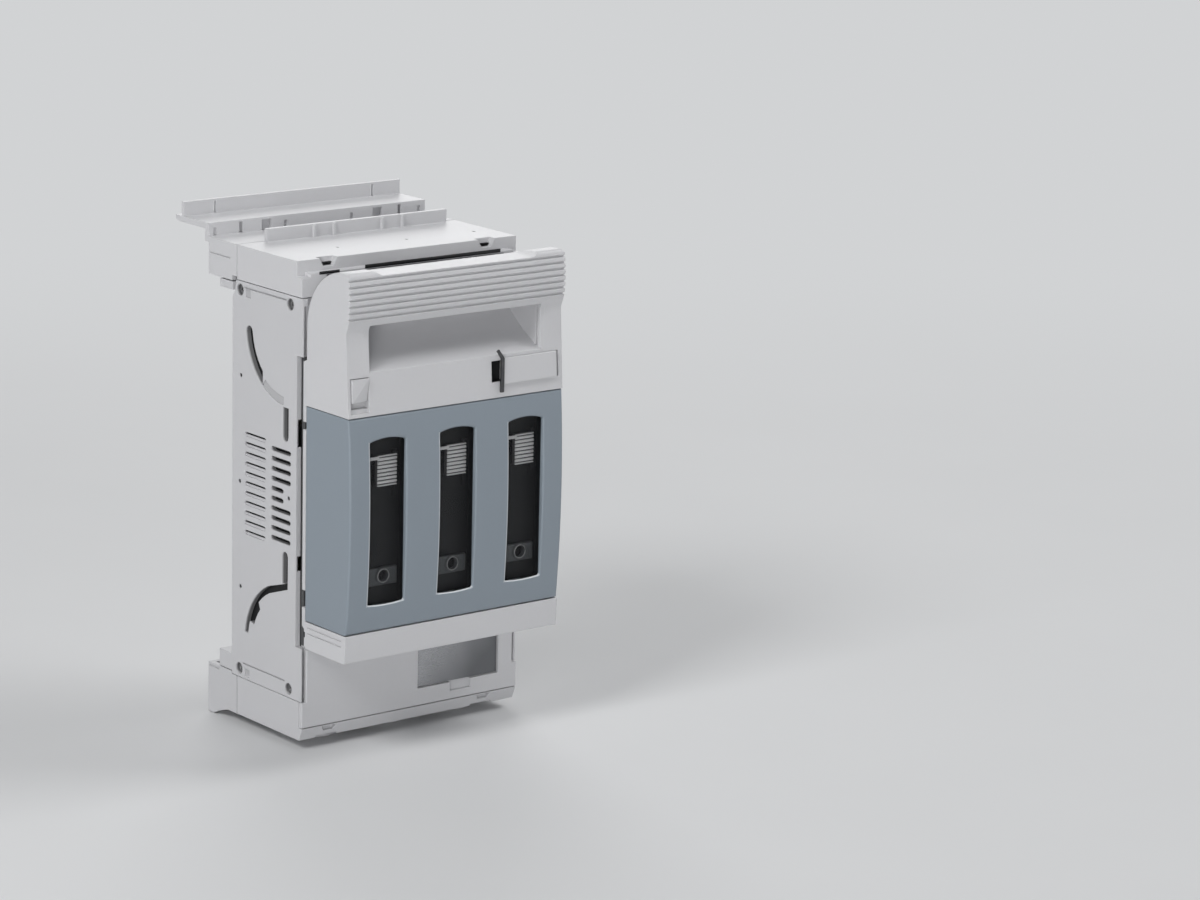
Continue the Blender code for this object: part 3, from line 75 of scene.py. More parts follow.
# %% Place the camera
TURN, TILT, ROLL = (math.radians(angle) for angle in (38.79, 13.36, 1.38))
AIM = Vector((0.0, -30.65, 104.5))
DISTANCE, SHIFT_RIGHT, SHIFT_UP = 1594.3, 74.0, 10.8
scene = bpy.context.scene
look = Vector((math.sin(TURN) * math.cos(TILT), math.cos(TURN) * math.cos(TILT), -math.sin(TILT)))
level = Vector((math.cos(TURN), -math.sin(TURN), 0.0))
across = (level * math.cos(ROLL) + level.cross(look) * math.sin(ROLL)).normalized()
upward = across.cross(look).normalized()
stand = AIM - look * DISTANCE + across * SHIFT_RIGHT + upward * SHIFT_UP

camera = bpy.data.objects.new("camera", bpy.data.cameras.new("camera"))
scene.collection.objects.link(camera)
turned = Matrix((across, upward, -look)).transposed().to_4x4()
camera.matrix_world = Matrix.Translation(stand * MM) @ turned
camera.data.sensor_width = 36.0
camera.data.lens = 120.42
camera.data.clip_end = 30.0
scene.camera = camera
print("camera at", in_mm(camera.location), "lens", camera.data.lens)

# %% [markdown]
# ## The studio
# The picture's black backdrop is left away, because the part is kept for use in any scene. It
# stands on a plain pale floor instead. Wide lamps give soft edges to the shadows: the key stands
# high on the left, so the side and the top are bright and the front is a little darker, as in the
# picture. A second one stands low on the left and reaches into the hollow of the grip. One high
# on the right lights the edges that face it, one behind shapes the rear, and a very weak one in
# front lifts the deepest shade.

# %% Lamps
LAMP_TARGET = Vector((0, 0, 0.1))
LAMPS = (  # name, place, width in metres and power in watts
    ("key_lamp", (-1.22, -0.36, 1.25), 0.55, 12.2),
    ("low_left_lamp", (-1.20, -1.30, 0.20), 0.45, 9.0),
    ("front_lamp", (0.45, -1.7, 0.45), 0.9, 0.5),
    ("top_right_lamp", (0.95, -0.45, 1.25), 0.6, 7.5),
    ("back_lamp", (0.9, 1.4, 0.9), 1.0, 8.0),
)
for name, place, width, power in LAMPS:
    data = bpy.data.lights.new(name, "AREA")
    data.size = width
    data.energy = power
    lamp = bpy.data.objects.new(name, data)
    scene.collection.objects.link(lamp)
    lamp.location = place
    lamp.rotation_euler = (LAMP_TARGET - Vector(place)).to_track_quat("-Z", "Y").to_euler()
    print("lamp", name, power, "W")

# %% [markdown]
# The world adds an even, dim light that is slightly blue. Where the camera looks past the floor,
# straight or by way of a mirror or a pane, it sees the backdrop's own grey instead, so the world
# mixes two backgrounds and asks each ray where it comes from.

# %% World
BACKDROP = (0.64, 0.65, 0.66, 1.0)
AMBIENT, AMBIENT_STRENGTH = (0.95, 0.97, 1.0, 1.0), 0.205
SEEN_RAYS = ("Is Camera Ray", "Is Glossy Ray", "Is Transmission Ray")
world = bpy.data.worlds.new("studio")
scene.world = world
world.use_nodes = True
sky = world.node_tree
ambient = sky.nodes["Background"]
ambient.inputs["Color"].default_value = AMBIENT
ambient.inputs["Strength"].default_value = AMBIENT_STRENGTH
backdrop = sky.nodes.new("ShaderNodeBackground")
backdrop.inputs["Color"].default_value = BACKDROP
ray = sky.nodes.new("ShaderNodeLightPath")
seen = ray.outputs[SEEN_RAYS[0]]
for kind in SEEN_RAYS[1:]:
    either = sky.nodes.new("ShaderNodeMath")
    either.operation = "MAXIMUM"
    sky.links.new(seen, either.inputs[0])
    sky.links.new(ray.outputs[kind], either.inputs[1])
    seen = either.outputs[0]
choice = sky.nodes.new("ShaderNodeMixShader")
for socket, source in enumerate((seen, ambient.outputs[0], backdrop.outputs[0])):
    sky.links.new(source, choice.inputs[socket])
sky.links.new(choice.outputs[0], sky.nodes["World Output"].inputs["Surface"])
scene.view_settings.view_transform = "Standard"
print("world ready, view transform", scene.view_settings.view_transform)

# %% [markdown]
# ## Writing materials as sums
# A procedural material is a graph of nodes, and most of its nodes are plain arithmetic. Python
# can write that arithmetic the way it is written on paper: the small class below wraps one
# socket, and its operators add the Math nodes. Every other node comes from its `node` method.

# %% A socket that can be added and multiplied
class Wire:
    """One output socket of a node tree. Operators on it add Math nodes."""

    def __init__(self, tree, socket=None):
        self.tree = tree
        self.socket = socket

    def node(self, kind, settings=None, inputs=None, output=0):
        """Adds a node: its settings first, then the values or wires of its sockets."""
        made = self.tree.nodes.new(kind)
        for name, value in (settings or {}).items():
            setattr(made, name, value)
        for key, value in (inputs or {}).items():
            if isinstance(value, Wire):
                self.tree.links.new(value.socket, made.inputs[key])
            else:
                made.inputs[key].default_value = value
        return Wire(self.tree, made.outputs[output])

    def math(self, operation, first, second=0.0, clamp=False):
        settings = {"operation": operation, "use_clamp": clamp}
        return self.node("ShaderNodeMath", settings, {0: first, 1: second})

    def __add__(self, other):
        return self.math("ADD", self, other)

    __radd__ = __add__

    def __mul__(self, other):
        return self.math("MULTIPLY", self, other)

    __rmul__ = __mul__

    def __sub__(self, other):
        return self.math("SUBTRACT", self, other)

    def __rsub__(self, other):
        return self.math("SUBTRACT", other, self)

    def clamped(self):
        return self.math("ADD", self, 0.0, clamp=True)

    def above(self, edge, soft):
        """0 below the edge and 1 above it, with a ramp that is soft wide."""
        return self.math("MULTIPLY", self - edge, 1.0 / soft, clamp=True)

    def mixed(self, first, second):
        """A colour between two others, with this value as the share of the second."""
        return self.node("ShaderNodeMix", {"data_type": "RGBA"}, {0: self, 6: first, 7: second}, 2)


print("Wire is ready")

# %% [markdown]
# Each finish starts and ends alike, so the start and the plugging in are two functions. Three
# more name the nodes that nearly every finish uses: noise, a normal that is rounded at the edges,
# and fine relief.

# %% Helpers for materials
def start_material(name):
    """An empty material, its Principled shader, a wire to build on and the object's coordinates."""
    material = bpy.data.materials.new(name)
    material.use_nodes = True
    shader = material.node_tree.nodes["Principled BSDF"]
    wire = Wire(material.node_tree)
    return material, shader, wire, wire.node("ShaderNodeTexCoord", output="Object")


def feed(wire, shader, **sockets):
    """Plugs wires into the shader, and sets plain numbers on its own sockets."""
    for key, value in sockets.items():
        socket = shader.inputs[key.replace("_", " ")]
        if isinstance(value, Wire):
            wire.tree.links.new(value.socket, socket)
        else:
            socket.default_value = value


def noise(wire, place, scale, detail, roughness=0.5):
    """Clouds or specks, finer for a higher scale."""
    inputs = {"Vector": place, "Scale": scale, "Detail": detail, "Roughness": roughness}
    return wire.node("ShaderNodeTexNoise", {}, inputs)


def round_normal(wire, radius):
    """The surface's direction, with each edge rounded by a radius in millimetres."""
    return wire.node("ShaderNodeBevel", {"samples": 6}, {"Radius": radius * MM})


def relief(wire, height, strength, depth, **inputs):
    """Fine bumps, their depth in millimetres."""
    inputs.update(Height=height, Strength=strength, Distance=depth * MM)
    return wire.node("ShaderNodeBump", {}, inputs)


def tone(colour, factor=1.0):
    """A colour made lighter or darker."""
    return (*(min(1.0, part * factor) for part in colour), 1.0)


print("material helpers are ready")

# %% [markdown]
# ## Moulded plastic
# The housing is glass-filled polyester: matt, with a fine grain from the spark-eroded mould, very
# slight clouds where the melt flowed, and edges that are never quite sharp. The Bevel node rounds
# the normals at each edge, so a hard CAD corner catches a thin line of light as the real one does.
# The difference between the rounded and the plain normal marks the edges, and they are painted
# paler: partly wear where handling polished them, partly a painted highlight. Ambient occlusion
# marks the corners and creases, and painted shade darkens them. A recipe may also be given a
# function that marks deep grooves and slots, where painted shade makes the plastic darker. All of
# it is laid in the object's own coordinates, so nothing slides when the lid moves.

# %% One recipe for every moulding
FLOW_SCALE, SPECK_SCALE, PIT_SCALE = 22.0, 900.0, 2300.0
CREASE_SHADE_REACH = 2.2 * MM


def moulding(
    name, colour, roughness, grain=1.0, edge=0.35, wear_and_highlight=0.10, crease_shade=0.22, gleam=0.5,
    deep=None, deep_shade_tone=0.12,
):
    """A moulded plastic: edge is its round in millimetres, deep a function that marks grooves for
    painted shade.
    """
    material, shader, wire, place = start_material(name)
    flow = noise(wire, place, FLOW_SCALE, 3.0)
    speck = noise(wire, place, SPECK_SCALE, 2.0, 0.6)
    pits = noise(wire, place, PIT_SCALE, 2.0, 0.55)
    rounded = round_normal(wire, edge)
    plain = wire.node("ShaderNodeNewGeometry", output="Normal")
    dot = {"operation": "DOT_PRODUCT"}
    facing = wire.node("ShaderNodeVectorMath", dot, {0: rounded, 1: plain}, "Value")
    corner = (1.0 - facing).above(0.03, 0.22)
    reach = {"Distance": CREASE_SHADE_REACH}
    open_sky = wire.node("ShaderNodeAmbientOcclusion", {"samples": 6}, reach, "AO")
    crevice = (1.0 - open_sky).above(0.35, 0.5)
    shade = (flow - 0.5) * 0.05 + (speck - 0.5) * 0.06 + 0.5
    body = shade.mixed(tone(colour, 0.72), tone(colour, 1.28))
    # Paler edges: partly wear from handling, partly a painted highlight.
    worn_and_highlit = (corner * wear_and_highlight * (0.4 + speck)).mixed(body, tone(colour, 1.45))
    # Painted shade: darker where ambient occlusion finds corners and creases.
    crease_shaded = (crevice * crease_shade).mixed(worn_and_highlit, tone(colour, 0.45))
    # Painted shade in the grooves or slots that deep marks.
    if deep is not None:
        crease_shaded = deep(wire, place).mixed(crease_shaded, tone(colour, deep_shade_tone))
    gloss = roughness + (flow - 0.5) * 0.10 + (speck - 0.5) * 0.16 - corner * 0.10 + crevice * 0.15
    feed(
        wire, shader, Base_Color=crease_shaded, Roughness=gloss.clamped(), Specular_IOR_Level=gleam,
        Normal=relief(wire, pits * 0.7 + speck * 0.6, 0.35 * grain, 0.02, Normal=rounded),
    )
    print("moulding", name)
    return material


PALE = (0.57, 0.57, 0.585)
BLUE = (0.245, 0.285, 0.325)
BLACK = (0.010, 0.0105, 0.0115)
pale_moulding = moulding("pale_moulding", PALE, 0.52)
# The pale moulding painted a little lighter, as painted light on the lid and the top, and a little
# smoother.
lit_pale_moulding = moulding("lit_pale_moulding", (0.605, 0.605, 0.62), 0.46, crease_shade=0.12)
blue_moulding = moulding("blue_moulding", BLUE, 0.40, grain=0.8, edge=0.45, wear_and_highlight=0.5, crease_shade=0.12)
carrier_moulding = moulding("carrier_moulding", BLACK, 0.42, crease_shade=0.0, gleam=0.28)
probe_moulding = moulding(
    "probe_moulding", (0.078, 0.084, 0.088), 0.38, edge=0.15, wear_and_highlight=2.2, crease_shade=0.1
)
# A pale finish for the painted highlight on the window rounds.
window_highlight_paint = moulding(
    "window_highlight_paint", (0.62, 0.65, 0.68), 0.25, grain=0.4, wear_and_highlight=0.0, crease_shade=0.0
)
# A dark finish that paints the shade in the gap beside the lid.
gap_shade_black = moulding("gap_shade_black", (0.085, 0.087, 0.09), 0.62, wear_and_highlight=0.05, crease_shade=0.0)

# %% [markdown]
# Two of the mouldings have deep places that light hardly reaches: the grooves between a catch's
# ribs, and the slots of the side plates. Their shade is painted into the colour. Both are marked
# by position alone, because a groove lies at a known depth, and the mask then costs only a few
# sums.

# %% Mouldings with painted shade in their grooves
GROOVE_FLOOR, GROOVE_RAMP = 0.75 * MM, 0.25 * MM
SLOT_SKIN, SLOT_RAMP = 0.35 * MM, 0.5 * MM
PLATE_MARGIN, PLATE_FRONT_MARGIN = 1.2 * MM, 5.0 * MM


def axis(wire, place, letter):
    """One coordinate of a point on the piece."""
    return wire.node("ShaderNodeSeparateXYZ", {}, {"Vector": place}, letter)


def in_grooves(wire, place):
    """Marks the floor of the grooves between a catch's ribs, for painted shade."""
    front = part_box("fuse_catch_1")[0].y
    return (axis(wire, place, "Y") - (front + GROOVE_FLOOR)).above(0.0, GROOVE_RAMP)


def in_slots(wire, place):
    """Marks the walls of a side plate's slots and seats for painted shade, but not its own outer
    edges.
    """
    low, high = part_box("right_side_plate")
    x, y, z = (axis(wire, place, letter) for letter in "XYZ")
    mask = (high.x - SLOT_SKIN - wire.math("ABSOLUTE", x)).above(0.0, SLOT_RAMP)
    for inwards in (
        y - (low.y + PLATE_FRONT_MARGIN), high.y - PLATE_MARGIN - y,
        z - (low.z + PLATE_MARGIN), high.z - PLATE_MARGIN - z,
    ):
        mask = mask * inwards.above(0.0, MM)
    return mask


# The side plates, with painted shade in their slots.
side_moulding = moulding("side_moulding", PALE, 0.52, deep=in_slots, deep_shade_tone=0.34)
catch_moulding = moulding(
    "catch_moulding", (0.93, 0.94, 0.95), 0.36, edge=0.1, crease_shade=0.3, deep=in_grooves
)

# %% [markdown]
# ## Metal
# The screws and pins are zinc-plated steel with a turned grain, the contacts silver-plated copper
# that shows warm where the plating is thin. One recipe does for all: two tones in soft clouds,
# and a stretched noise that draws fine lines into the roughness and the relief.

# %% Metals
CLOUD_SCALE, LINE_SCALE, LINE_STRETCH = 160.0, 1100.0, (1.0, 1.0, 9.0)


def stretched(wire, place, factors):
    """The same coordinates, drawn out so that a noise becomes lines."""
    return wire.node("ShaderNodeMapping", {}, {"Vector": place, "Scale": factors})


def metal(name, colour, second, roughness):
    """A plated metal: two tones in clouds, fine scratches and softened edges."""
    material, shader, wire, place = start_material(name)
    clouds = noise(wire, place, CLOUD_SCALE, 4.0)
    lines = noise(wire, stretched(wire, place, LINE_STRETCH), LINE_SCALE, 2.0)
    body = clouds.above(0.42, 0.3).mixed(tone(colour), tone(second))
    gloss = roughness + (clouds - 0.5) * 0.25 + (lines - 0.5) * 0.12
    feed(
        wire, shader, Base_Color=body, Roughness=gloss.clamped(), Metallic=1.0,
        Normal=relief(wire, lines, 0.3, 0.01, Normal=round_normal(wire, 0.15)),
    )
    print("metal", name)
    return material


zinc_steel = metal("zinc_steel", (0.24, 0.24, 0.245), (0.32, 0.315, 0.31), 0.38)
bright_steel = metal("bright_steel", (0.30, 0.305, 0.31), (0.42, 0.42, 0.415), 0.34)
dark_steel = metal("dark_steel", (0.10, 0.10, 0.105), (0.17, 0.165, 0.16), 0.42)
silvered_copper = metal("silvered_copper", (0.74, 0.68, 0.60), (0.66, 0.52, 0.40), 0.32)

# %% [markdown]
# ## Panes and label
# The panes are thin clear plastic, smoked by what lies behind them. A low alpha lets the light
# through without the cost of refraction, which such a thin sheet hardly shows.

# %% The clear panes
PANE_DARK, PANE_HAZE = (0.012, 0.013, 0.015, 1.0), (0.028, 0.030, 0.034, 1.0)
smoked_pane, shader, wire, place = start_material("smoked_pane")
haze = noise(wire, place, 60.0, 3.0)
scratch = noise(wire, place, 1400.0, 2.0)
feed(
    wire, shader, Base_Color=haze.mixed(PANE_DARK, PANE_HAZE), Roughness=0.06 + haze * 0.12,
    Normal=relief(wire, scratch, 0.15, 0.01, Normal=round_normal(wire, 0.3)),
    Alpha=0.10 + haze * 0.05,
)
print("pane ready")

# %% [markdown]
# The label is bare aluminium foil. Its reflection is painted into the colour: a painted sheen that
# runs from bright at the upper left to dark at the right, as a foil that is never perfectly flat
# would show. The sheen is a sum of the position on the plate and a slow noise, and it drives both
# the colour and the roughness.

# %% The bare label
FOIL_DARK, FOIL_BRIGHT = (0.15, 0.154, 0.162, 1.0), (0.38, 0.385, 0.40, 1.0)
label_foil, shader, wire, place = start_material("label_foil")
low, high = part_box("label_plate")
along, upright = (
    (axis(wire, place, letter) - start) * (1.0 / (end - start))
    for letter, start, end in (("X", low.x, high.x), ("Z", low.z, high.z))
)
wave = noise(wire, place, 70.0, 1.0)
brushed = noise(wire, stretched(wire, place, (0.06, 1.0, 1.0)), 5200.0, 2.0)
# Painted reflection: bright at the upper left, dark to the right.
painted_sheen = (1.0 - along * 1.15 + (upright - 0.5) * 0.45 + (wave - 0.5) * 0.4).clamped()
feed(
    wire, shader, Base_Color=painted_sheen.mixed(FOIL_DARK, FOIL_BRIGHT), Metallic=0.75,
    Roughness=0.36 - painted_sheen * 0.10 + (brushed - 0.5) * 0.18,
    Normal=relief(wire, wave * 3.0 + brushed, 0.3, 0.02),
)
print("label from", in_mm(low), "to", in_mm(high))

# %% [markdown]
# ## Giving each solid its finish
# Every CAD solid comes with the name of a material slot. The table turns that slot into a finish,
# and a few solids that differ from their slot are named on their own: the catches behind the
# panes, the side plates with painted shade in their slots, the slider's steel hasp, and the lid and
# the top, which are moulded a little smoother than the rest and painted a little lighter, as
# painted light.

# %% Paint the CAD solids
by_slot = {
    "pale_plastic": pale_moulding, "blue_plastic": blue_moulding, "dark_plastic": carrier_moulding,
    "smoked_pane": smoked_pane, "silvered_copper": silvered_copper, "zinc_steel": zinc_steel,
    "label_silver": label_foil, "grey_plastic": probe_moulding,
}
by_name = {"lock_hasp": dark_steel}
for finish, nodes in (
    (lit_pale_moulding, ("lid_frame", "lock_slider", "lid_catch", "top_cover", "top_rear_shroud")),
    (side_moulding, [f"{word}_side_plate" for word, side in SIDES]),
    (catch_moulding, [f"fuse_catch_{pole}" for pole in POLES]),
):
    by_name.update(dict.fromkeys(nodes, finish))
for entry in frame["record"]["subparts"]:
    solid = frame["nodes"][entry["node"]]
    finish = by_name.get(entry["node"], by_slot.get(entry["material_slot"], pale_moulding))
    for slot in solid.material_slots:
        slot.material = finish
    if not solid.material_slots:
        solid.data.materials.append(finish)

# %% [markdown]
# ## The floor
# The floor is one large pale sheet with the faintest mottling, so that it isn't a dead flat
# colour, and it keeps the soft shadow that shows the part standing on it. The lamps light only
# its middle. Farther out, and for the camera's rays and mirrored ones only, it turns into the
# backdrop's own colour, so the picture's background is even and no light is added to the part.

# %% Lay the floor
FLOOR_SIZE, FLOOR_SHIFT, FLOOR_DROP = 16.0, 3.0, 0.0002
NEAR, FAR = 0.30, 1.10


def fresh(add, **settings):
    """Adds a primitive, alone in the selection, with its place in its mesh."""
    bpy.ops.object.select_all(action="DESELECT")
    add(**settings)
    bpy.ops.object.transform_apply(location=True, rotation=True, scale=True)
    return bpy.context.object


floor = fresh(
    bpy.ops.mesh.primitive_plane_add, size=FLOOR_SIZE, location=(0.0, FLOOR_SHIFT, -FLOOR_DROP)
)
floor.name = "floor"
paper, shader, wire, place = start_material("floor_paper")
fibre = noise(wire, place, 8.0, 4.0)
mottled = fibre.mixed((0.70, 0.705, 0.71, 1.0), (0.73, 0.735, 0.74, 1.0))
feed(wire, shader, Base_Color=mottled, Roughness=0.75)
distance = wire.node("ShaderNodeVectorMath", {"operation": "LENGTH"}, {0: place}, "Value")
smooth = {"interpolation_type": "SMOOTHSTEP"}
span = {"Value": distance, "From Min": NEAR, "From Max": FAR}
fade = wire.node("ShaderNodeMapRange", smooth, span)
rays = [wire.node("ShaderNodeLightPath", output=kind) for kind in SEEN_RAYS]
seen = (rays[0] + rays[1] + rays[2]).clamped()
glow = wire.node("ShaderNodeEmission", {}, {"Color": BACKDROP})
lit = Wire(wire.tree, shader.outputs[0])
mixed = wire.node("ShaderNodeMixShader", {}, {0: fade * seen, 1: lit, 2: glow})
wire.tree.links.new(mixed.socket, wire.tree.nodes["Material Output"].inputs["Surface"])
floor.data.materials.append(paper)
print("floor of", floor.dimensions.x, "m")

# %% [markdown]
# ## Side screws
# Eight small countersunk screws hold the side plates. They are fasteners of a standard kind, so
# the CAD holds only a plain head. Here one screw is modelled properly and copied: the upper face
# of a cylinder is inset twice, which makes a low dome, and the lower one is drawn out into a neck
# and a shank. It sits a millimetre and a half down in its hole, as in the picture, so the hole's
# wall throws a crescent of shade over it. Shaping faces in edit mode needs a few helpers first.

# %% Helpers for edit mode
UP, DOWN, FRONT, BACK = (Vector(way) for way in ((0, 0, 1), (0, 0, -1), (0, -1, 0), (0, 1, 0)))


def only(item):
    """Selects one object and nothing else."""
    bpy.ops.object.select_all(action="DESELECT")
    item.select_set(True)
    bpy.context.view_layer.objects.active = item


def pick(item, *ways):
    """In edit mode: selects the faces that look one of these ways."""
    bpy.ops.mesh.select_all(action="DESELECT")
    shape = bmesh.from_edit_mesh(item.data)
    for face in shape.faces:
        if any(face.normal.dot(way) > 0.9 for way in ways):
            face.select_set(True)
    bmesh.update_edit_mesh(item.data)


def edit(item, *ways):
    """Enters edit mode with the faces selected that look one of these ways, or with all."""
    only(item)
    bpy.ops.object.mode_set(mode="EDIT")
    if ways:
        pick(item, *ways)
    else:
        bpy.ops.mesh.select_all(action="SELECT")


def done():
    """Leaves edit mode."""
    bpy.ops.object.mode_set(mode="OBJECT")


print("edit helpers are ready")

# %% One screw
HEAD_RADIUS, HEAD_HEIGHT = 2.05 * MM, 0.5 * MM
DOME = ((0.35 * MM, 0.10 * MM), (0.5 * MM, 0.04 * MM))
NECK, SHANK, SHANK_SHARE = 0.8 * MM, 2.6 * MM, 0.70
screw = fresh(
    bpy.ops.mesh.primitive_cylinder_add, vertices=32, radius=HEAD_RADIUS, depth=HEAD_HEIGHT
)
edit(screw, UP)
for inwards, rise in DOME:
    bpy.ops.mesh.inset(thickness=inwards, depth=rise)
pick(screw, DOWN)
bpy.ops.mesh.extrude_region_move(TRANSFORM_OT_translate={"value": (0, 0, -NECK)})
bpy.ops.transform.resize(value=(SHANK_SHARE, SHANK_SHARE, 1.0), center_override=(0, 0, 0))
bpy.ops.mesh.extrude_region_move(TRANSFORM_OT_translate={"value": (0, 0, -SHANK)})
done()
print("screw blank with", len(screw.data.polygons), "faces")

# %% [markdown]
# The cross recess is cut with a Boolean: two thin tapered blades, joined at a right angle, are
# subtracted from the head. Cutting is simpler here than shaping the recess out of the round face,
# because the recess has eight corners and the face has none of them.

# %% Helpers for solids
def modify(item, kind, **settings):
    """Adds a modifier, sets its values and applies it."""
    only(item)
    step = item.modifiers.new(kind, kind)
    for name, value in settings.items():
        setattr(step, name, value)
    bpy.ops.object.modifier_apply(modifier=step.name)


def block(low, high):
    """A cube stretched between two corners, alone in the selection."""
    item = fresh(bpy.ops.mesh.primitive_cube_add, size=1.0)
    item.location = (Vector(low) + Vector(high)) / 2
    item.scale = Vector(high) - Vector(low)
    bpy.ops.object.transform_apply(location=True, rotation=True, scale=True)
    return item


def combine(item, other, operation, **settings):
    """Adds another closed shape to this one or cuts it away, and removes it."""
    modify(item, "BOOLEAN", operation=operation, solver="EXACT", object=other, **settings)
    bpy.data.objects.remove(other, do_unlink=True)


print("modify, block and combine are ready")

# %% Its cross recess
BLADE_LOW, BLADE_HIGH = (-1.2 * MM, -0.33 * MM, -0.09 * MM), (1.2 * MM, 0.33 * MM, 0.81 * MM)
blade = block(BLADE_LOW, BLADE_HIGH)
edit(blade, DOWN)
bpy.ops.transform.resize(value=(0.55, 0.6, 1.0), center_override=(0, 0, 0))
bpy.ops.mesh.select_all(action="SELECT")
bpy.ops.mesh.duplicate_move()
bpy.ops.transform.rotate(value=math.pi / 2, orient_axis="Z", center_override=(0, 0, 0))
done()
combine(screw, blade, "DIFFERENCE", use_self=True)
print("screw with", len(screw.data.polygons), "faces")

# %% [markdown]
# A copy needs a mesh of its own, because its place is put into the mesh. No two screws end at the
# same angle on a real device, so each copy is turned a little further.

# %% Helpers for finished pieces
def copy_of(item):
    """A second object with a mesh of its own."""
    twin = item.copy()
    twin.data = item.data.copy()
    scene.collection.objects.link(twin)
    return twin


def settle(item, name, finish, body, angle=32.0):
    """Puts the place into the mesh, smooths the round faces, paints, and rides on a body."""
    only(item)
    bpy.ops.object.transform_apply(location=True, rotation=True, scale=True)
    bpy.ops.object.shade_smooth_by_angle(angle=math.radians(angle))
    item.name = name
    item.data.name = name
    item.data.materials.clear()
    item.data.materials.append(finish)
    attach(item, body)


print("copy_of and settle are ready")

# %% Eight copies
SEAT_DEPTH, FIRST_TURN, MORE_TURN = 1.6 * MM, 17, 31
for number in range(1, 9):
    low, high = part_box(f"side_screw_{number}")
    word, side = SIDES[0] if low.x < 0 else SIDES[1]
    plate_low, plate_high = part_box(f"{word}_side_plate")
    outer = (plate_low.x if side < 0 else plate_high.x) - side * (SEAT_DEPTH - HEAD_HEIGHT / 2)
    spin = Matrix.Rotation(math.radians(FIRST_TURN + MORE_TURN * number), 4, "Z")
    twin = copy_of(screw)
    twin.location = (outer, (low.y + high.y) / 2, (low.z + high.z) / 2)
    twin.rotation_euler = (Matrix.Rotation(side * math.pi / 2, 4, "Y") @ spin).to_euler()
    settle(twin, f"plate_screw_{number}", zinc_steel, "base")
    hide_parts(f"side_screw_{number}")
bpy.data.objects.remove(screw, do_unlink=True)
print("eight plate screws, heads at X", round(outer / MM, 2))

# %% [markdown]
# ## Tunnels behind the windows
# Behind each window the lid is hollow, and without a screen the daylight from the side vents would
# shine past the fuse carrier. A thin dark tunnel stands there for the shade inside the hollow lid:
# painted shade that also blocks that light. It starts as a block that is stretched to the window's
# height; its front and back faces are deleted, which leaves a tube, and a Solidify modifier gives
# the tube its wall. A Bevel modifier then rounds its sharp edges.

# %% Three tunnels
SIDE_ROOM, END_ROOM, BACK_ROOM, PANE_ROOM = 0.7 * MM, 0.5 * MM, 0.2 * MM, 0.75 * MM


def soften(item, width, segments=2, angle=40.0):
    """Rounds every edge that is sharper than an angle."""
    limit = {"limit_method": "ANGLE", "angle_limit": math.radians(angle)}
    modify(item, "BEVEL", width=width, segments=segments, **limit)


for pole in POLES:
    low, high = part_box(f"window_pane_{pole}")
    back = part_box(f"fuse_catch_{pole}")[1].y + BACK_ROOM
    tube = block(
        (low.x - SIDE_ROOM, high.y - PANE_ROOM, low.z - END_ROOM),
        (high.x + SIDE_ROOM, back, high.z + END_ROOM),
    )
    edit(tube, FRONT, BACK)
    bpy.ops.mesh.delete(type="FACE")
    done()
    modify(tube, "SOLIDIFY", thickness=0.5 * MM, offset=-1.0)
    soften(tube, 0.1 * MM)
    # A dark tube that paints the shade inside the hollow lid.
    settle(tube, f"window_shade_tunnel_{pole}", carrier_moulding, "lid")
    print(tube.name, in_mm(tube.dimensions))

# %% [markdown]
# ## The slider's pocket
# The lock slider runs in a pocket of the lid, and left of it the pocket stays open and dark. Its
# tray is a block whose front face is inset to leave a thin rim and then pushed back, which makes a
# dish. The slider's tongue runs inside it with a tenth of a millimetre to spare.

# %% The dark tray
TRAY_WALL, TRAY_EDGE = 0.12 * MM, 0.98 * MM
TRAY_LEFT, TRAY_RIGHT, TRAY_FRONT, TRAY_BACK = 5.3 * MM, 3.6 * MM, 2.0 * MM, 0.29 * MM
slider_low, slider_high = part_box("lock_slider")
tray_low = slider_low + Vector((-TRAY_LEFT, TRAY_FRONT, TRAY_EDGE))
tray_high = slider_high + Vector((-TRAY_RIGHT, TRAY_BACK, -TRAY_EDGE))
tray = block(tray_low, tray_high)
edit(tray, FRONT)
bpy.ops.mesh.inset(thickness=TRAY_WALL)
inwards = (0, tray_high.y - tray_low.y - TRAY_WALL, 0)
bpy.ops.mesh.extrude_region_move(TRANSFORM_OT_translate={"value": inwards})
done()
settle(tray, "slider_pocket_tray", carrier_moulding, "lid")
print("tray", in_mm(tray.dimensions))

# %% [markdown]
# ## Catches behind the panes
# Each fuse is held by a small pale slider with grip ribs, seen through the pane. Its body is a
# block; the grooves between the ribs are wedges, made once, repeated by an Array modifier and
# subtracted. A thin tab reaches to the window's left edge. A second block behind the body bridges
# the carrier's rail on its right.

# %% One ribbed body
GROOVES = 8
GROOVE_START, GROOVE_END, GROOVE_MIDDLE, GROOVE_TAPER = 0.28, 0.74, 0.34, 0.45
GROOVE_DEPTH, OVERCUT, SIDE_OVERCUT = 0.75 * MM, 0.2 * MM, 1.0 * MM
BODY_WIDTH, BODY_SHIFT, BODY_DEPTH = 8.9 * MM, 2.2 * MM, 0.95 * MM
GAP_BELOW, GAP_ABOVE, GAP_FRONT = 1.05 * MM, 1.3 * MM, 0.3 * MM


def repeat(item, count, step):
    """Repeats a piece upwards."""
    spacing = {"use_relative_offset": False, "use_constant_offset": True}
    modify(item, "ARRAY", count=count, constant_offset_displace=(0.0, 0.0, step), **spacing)


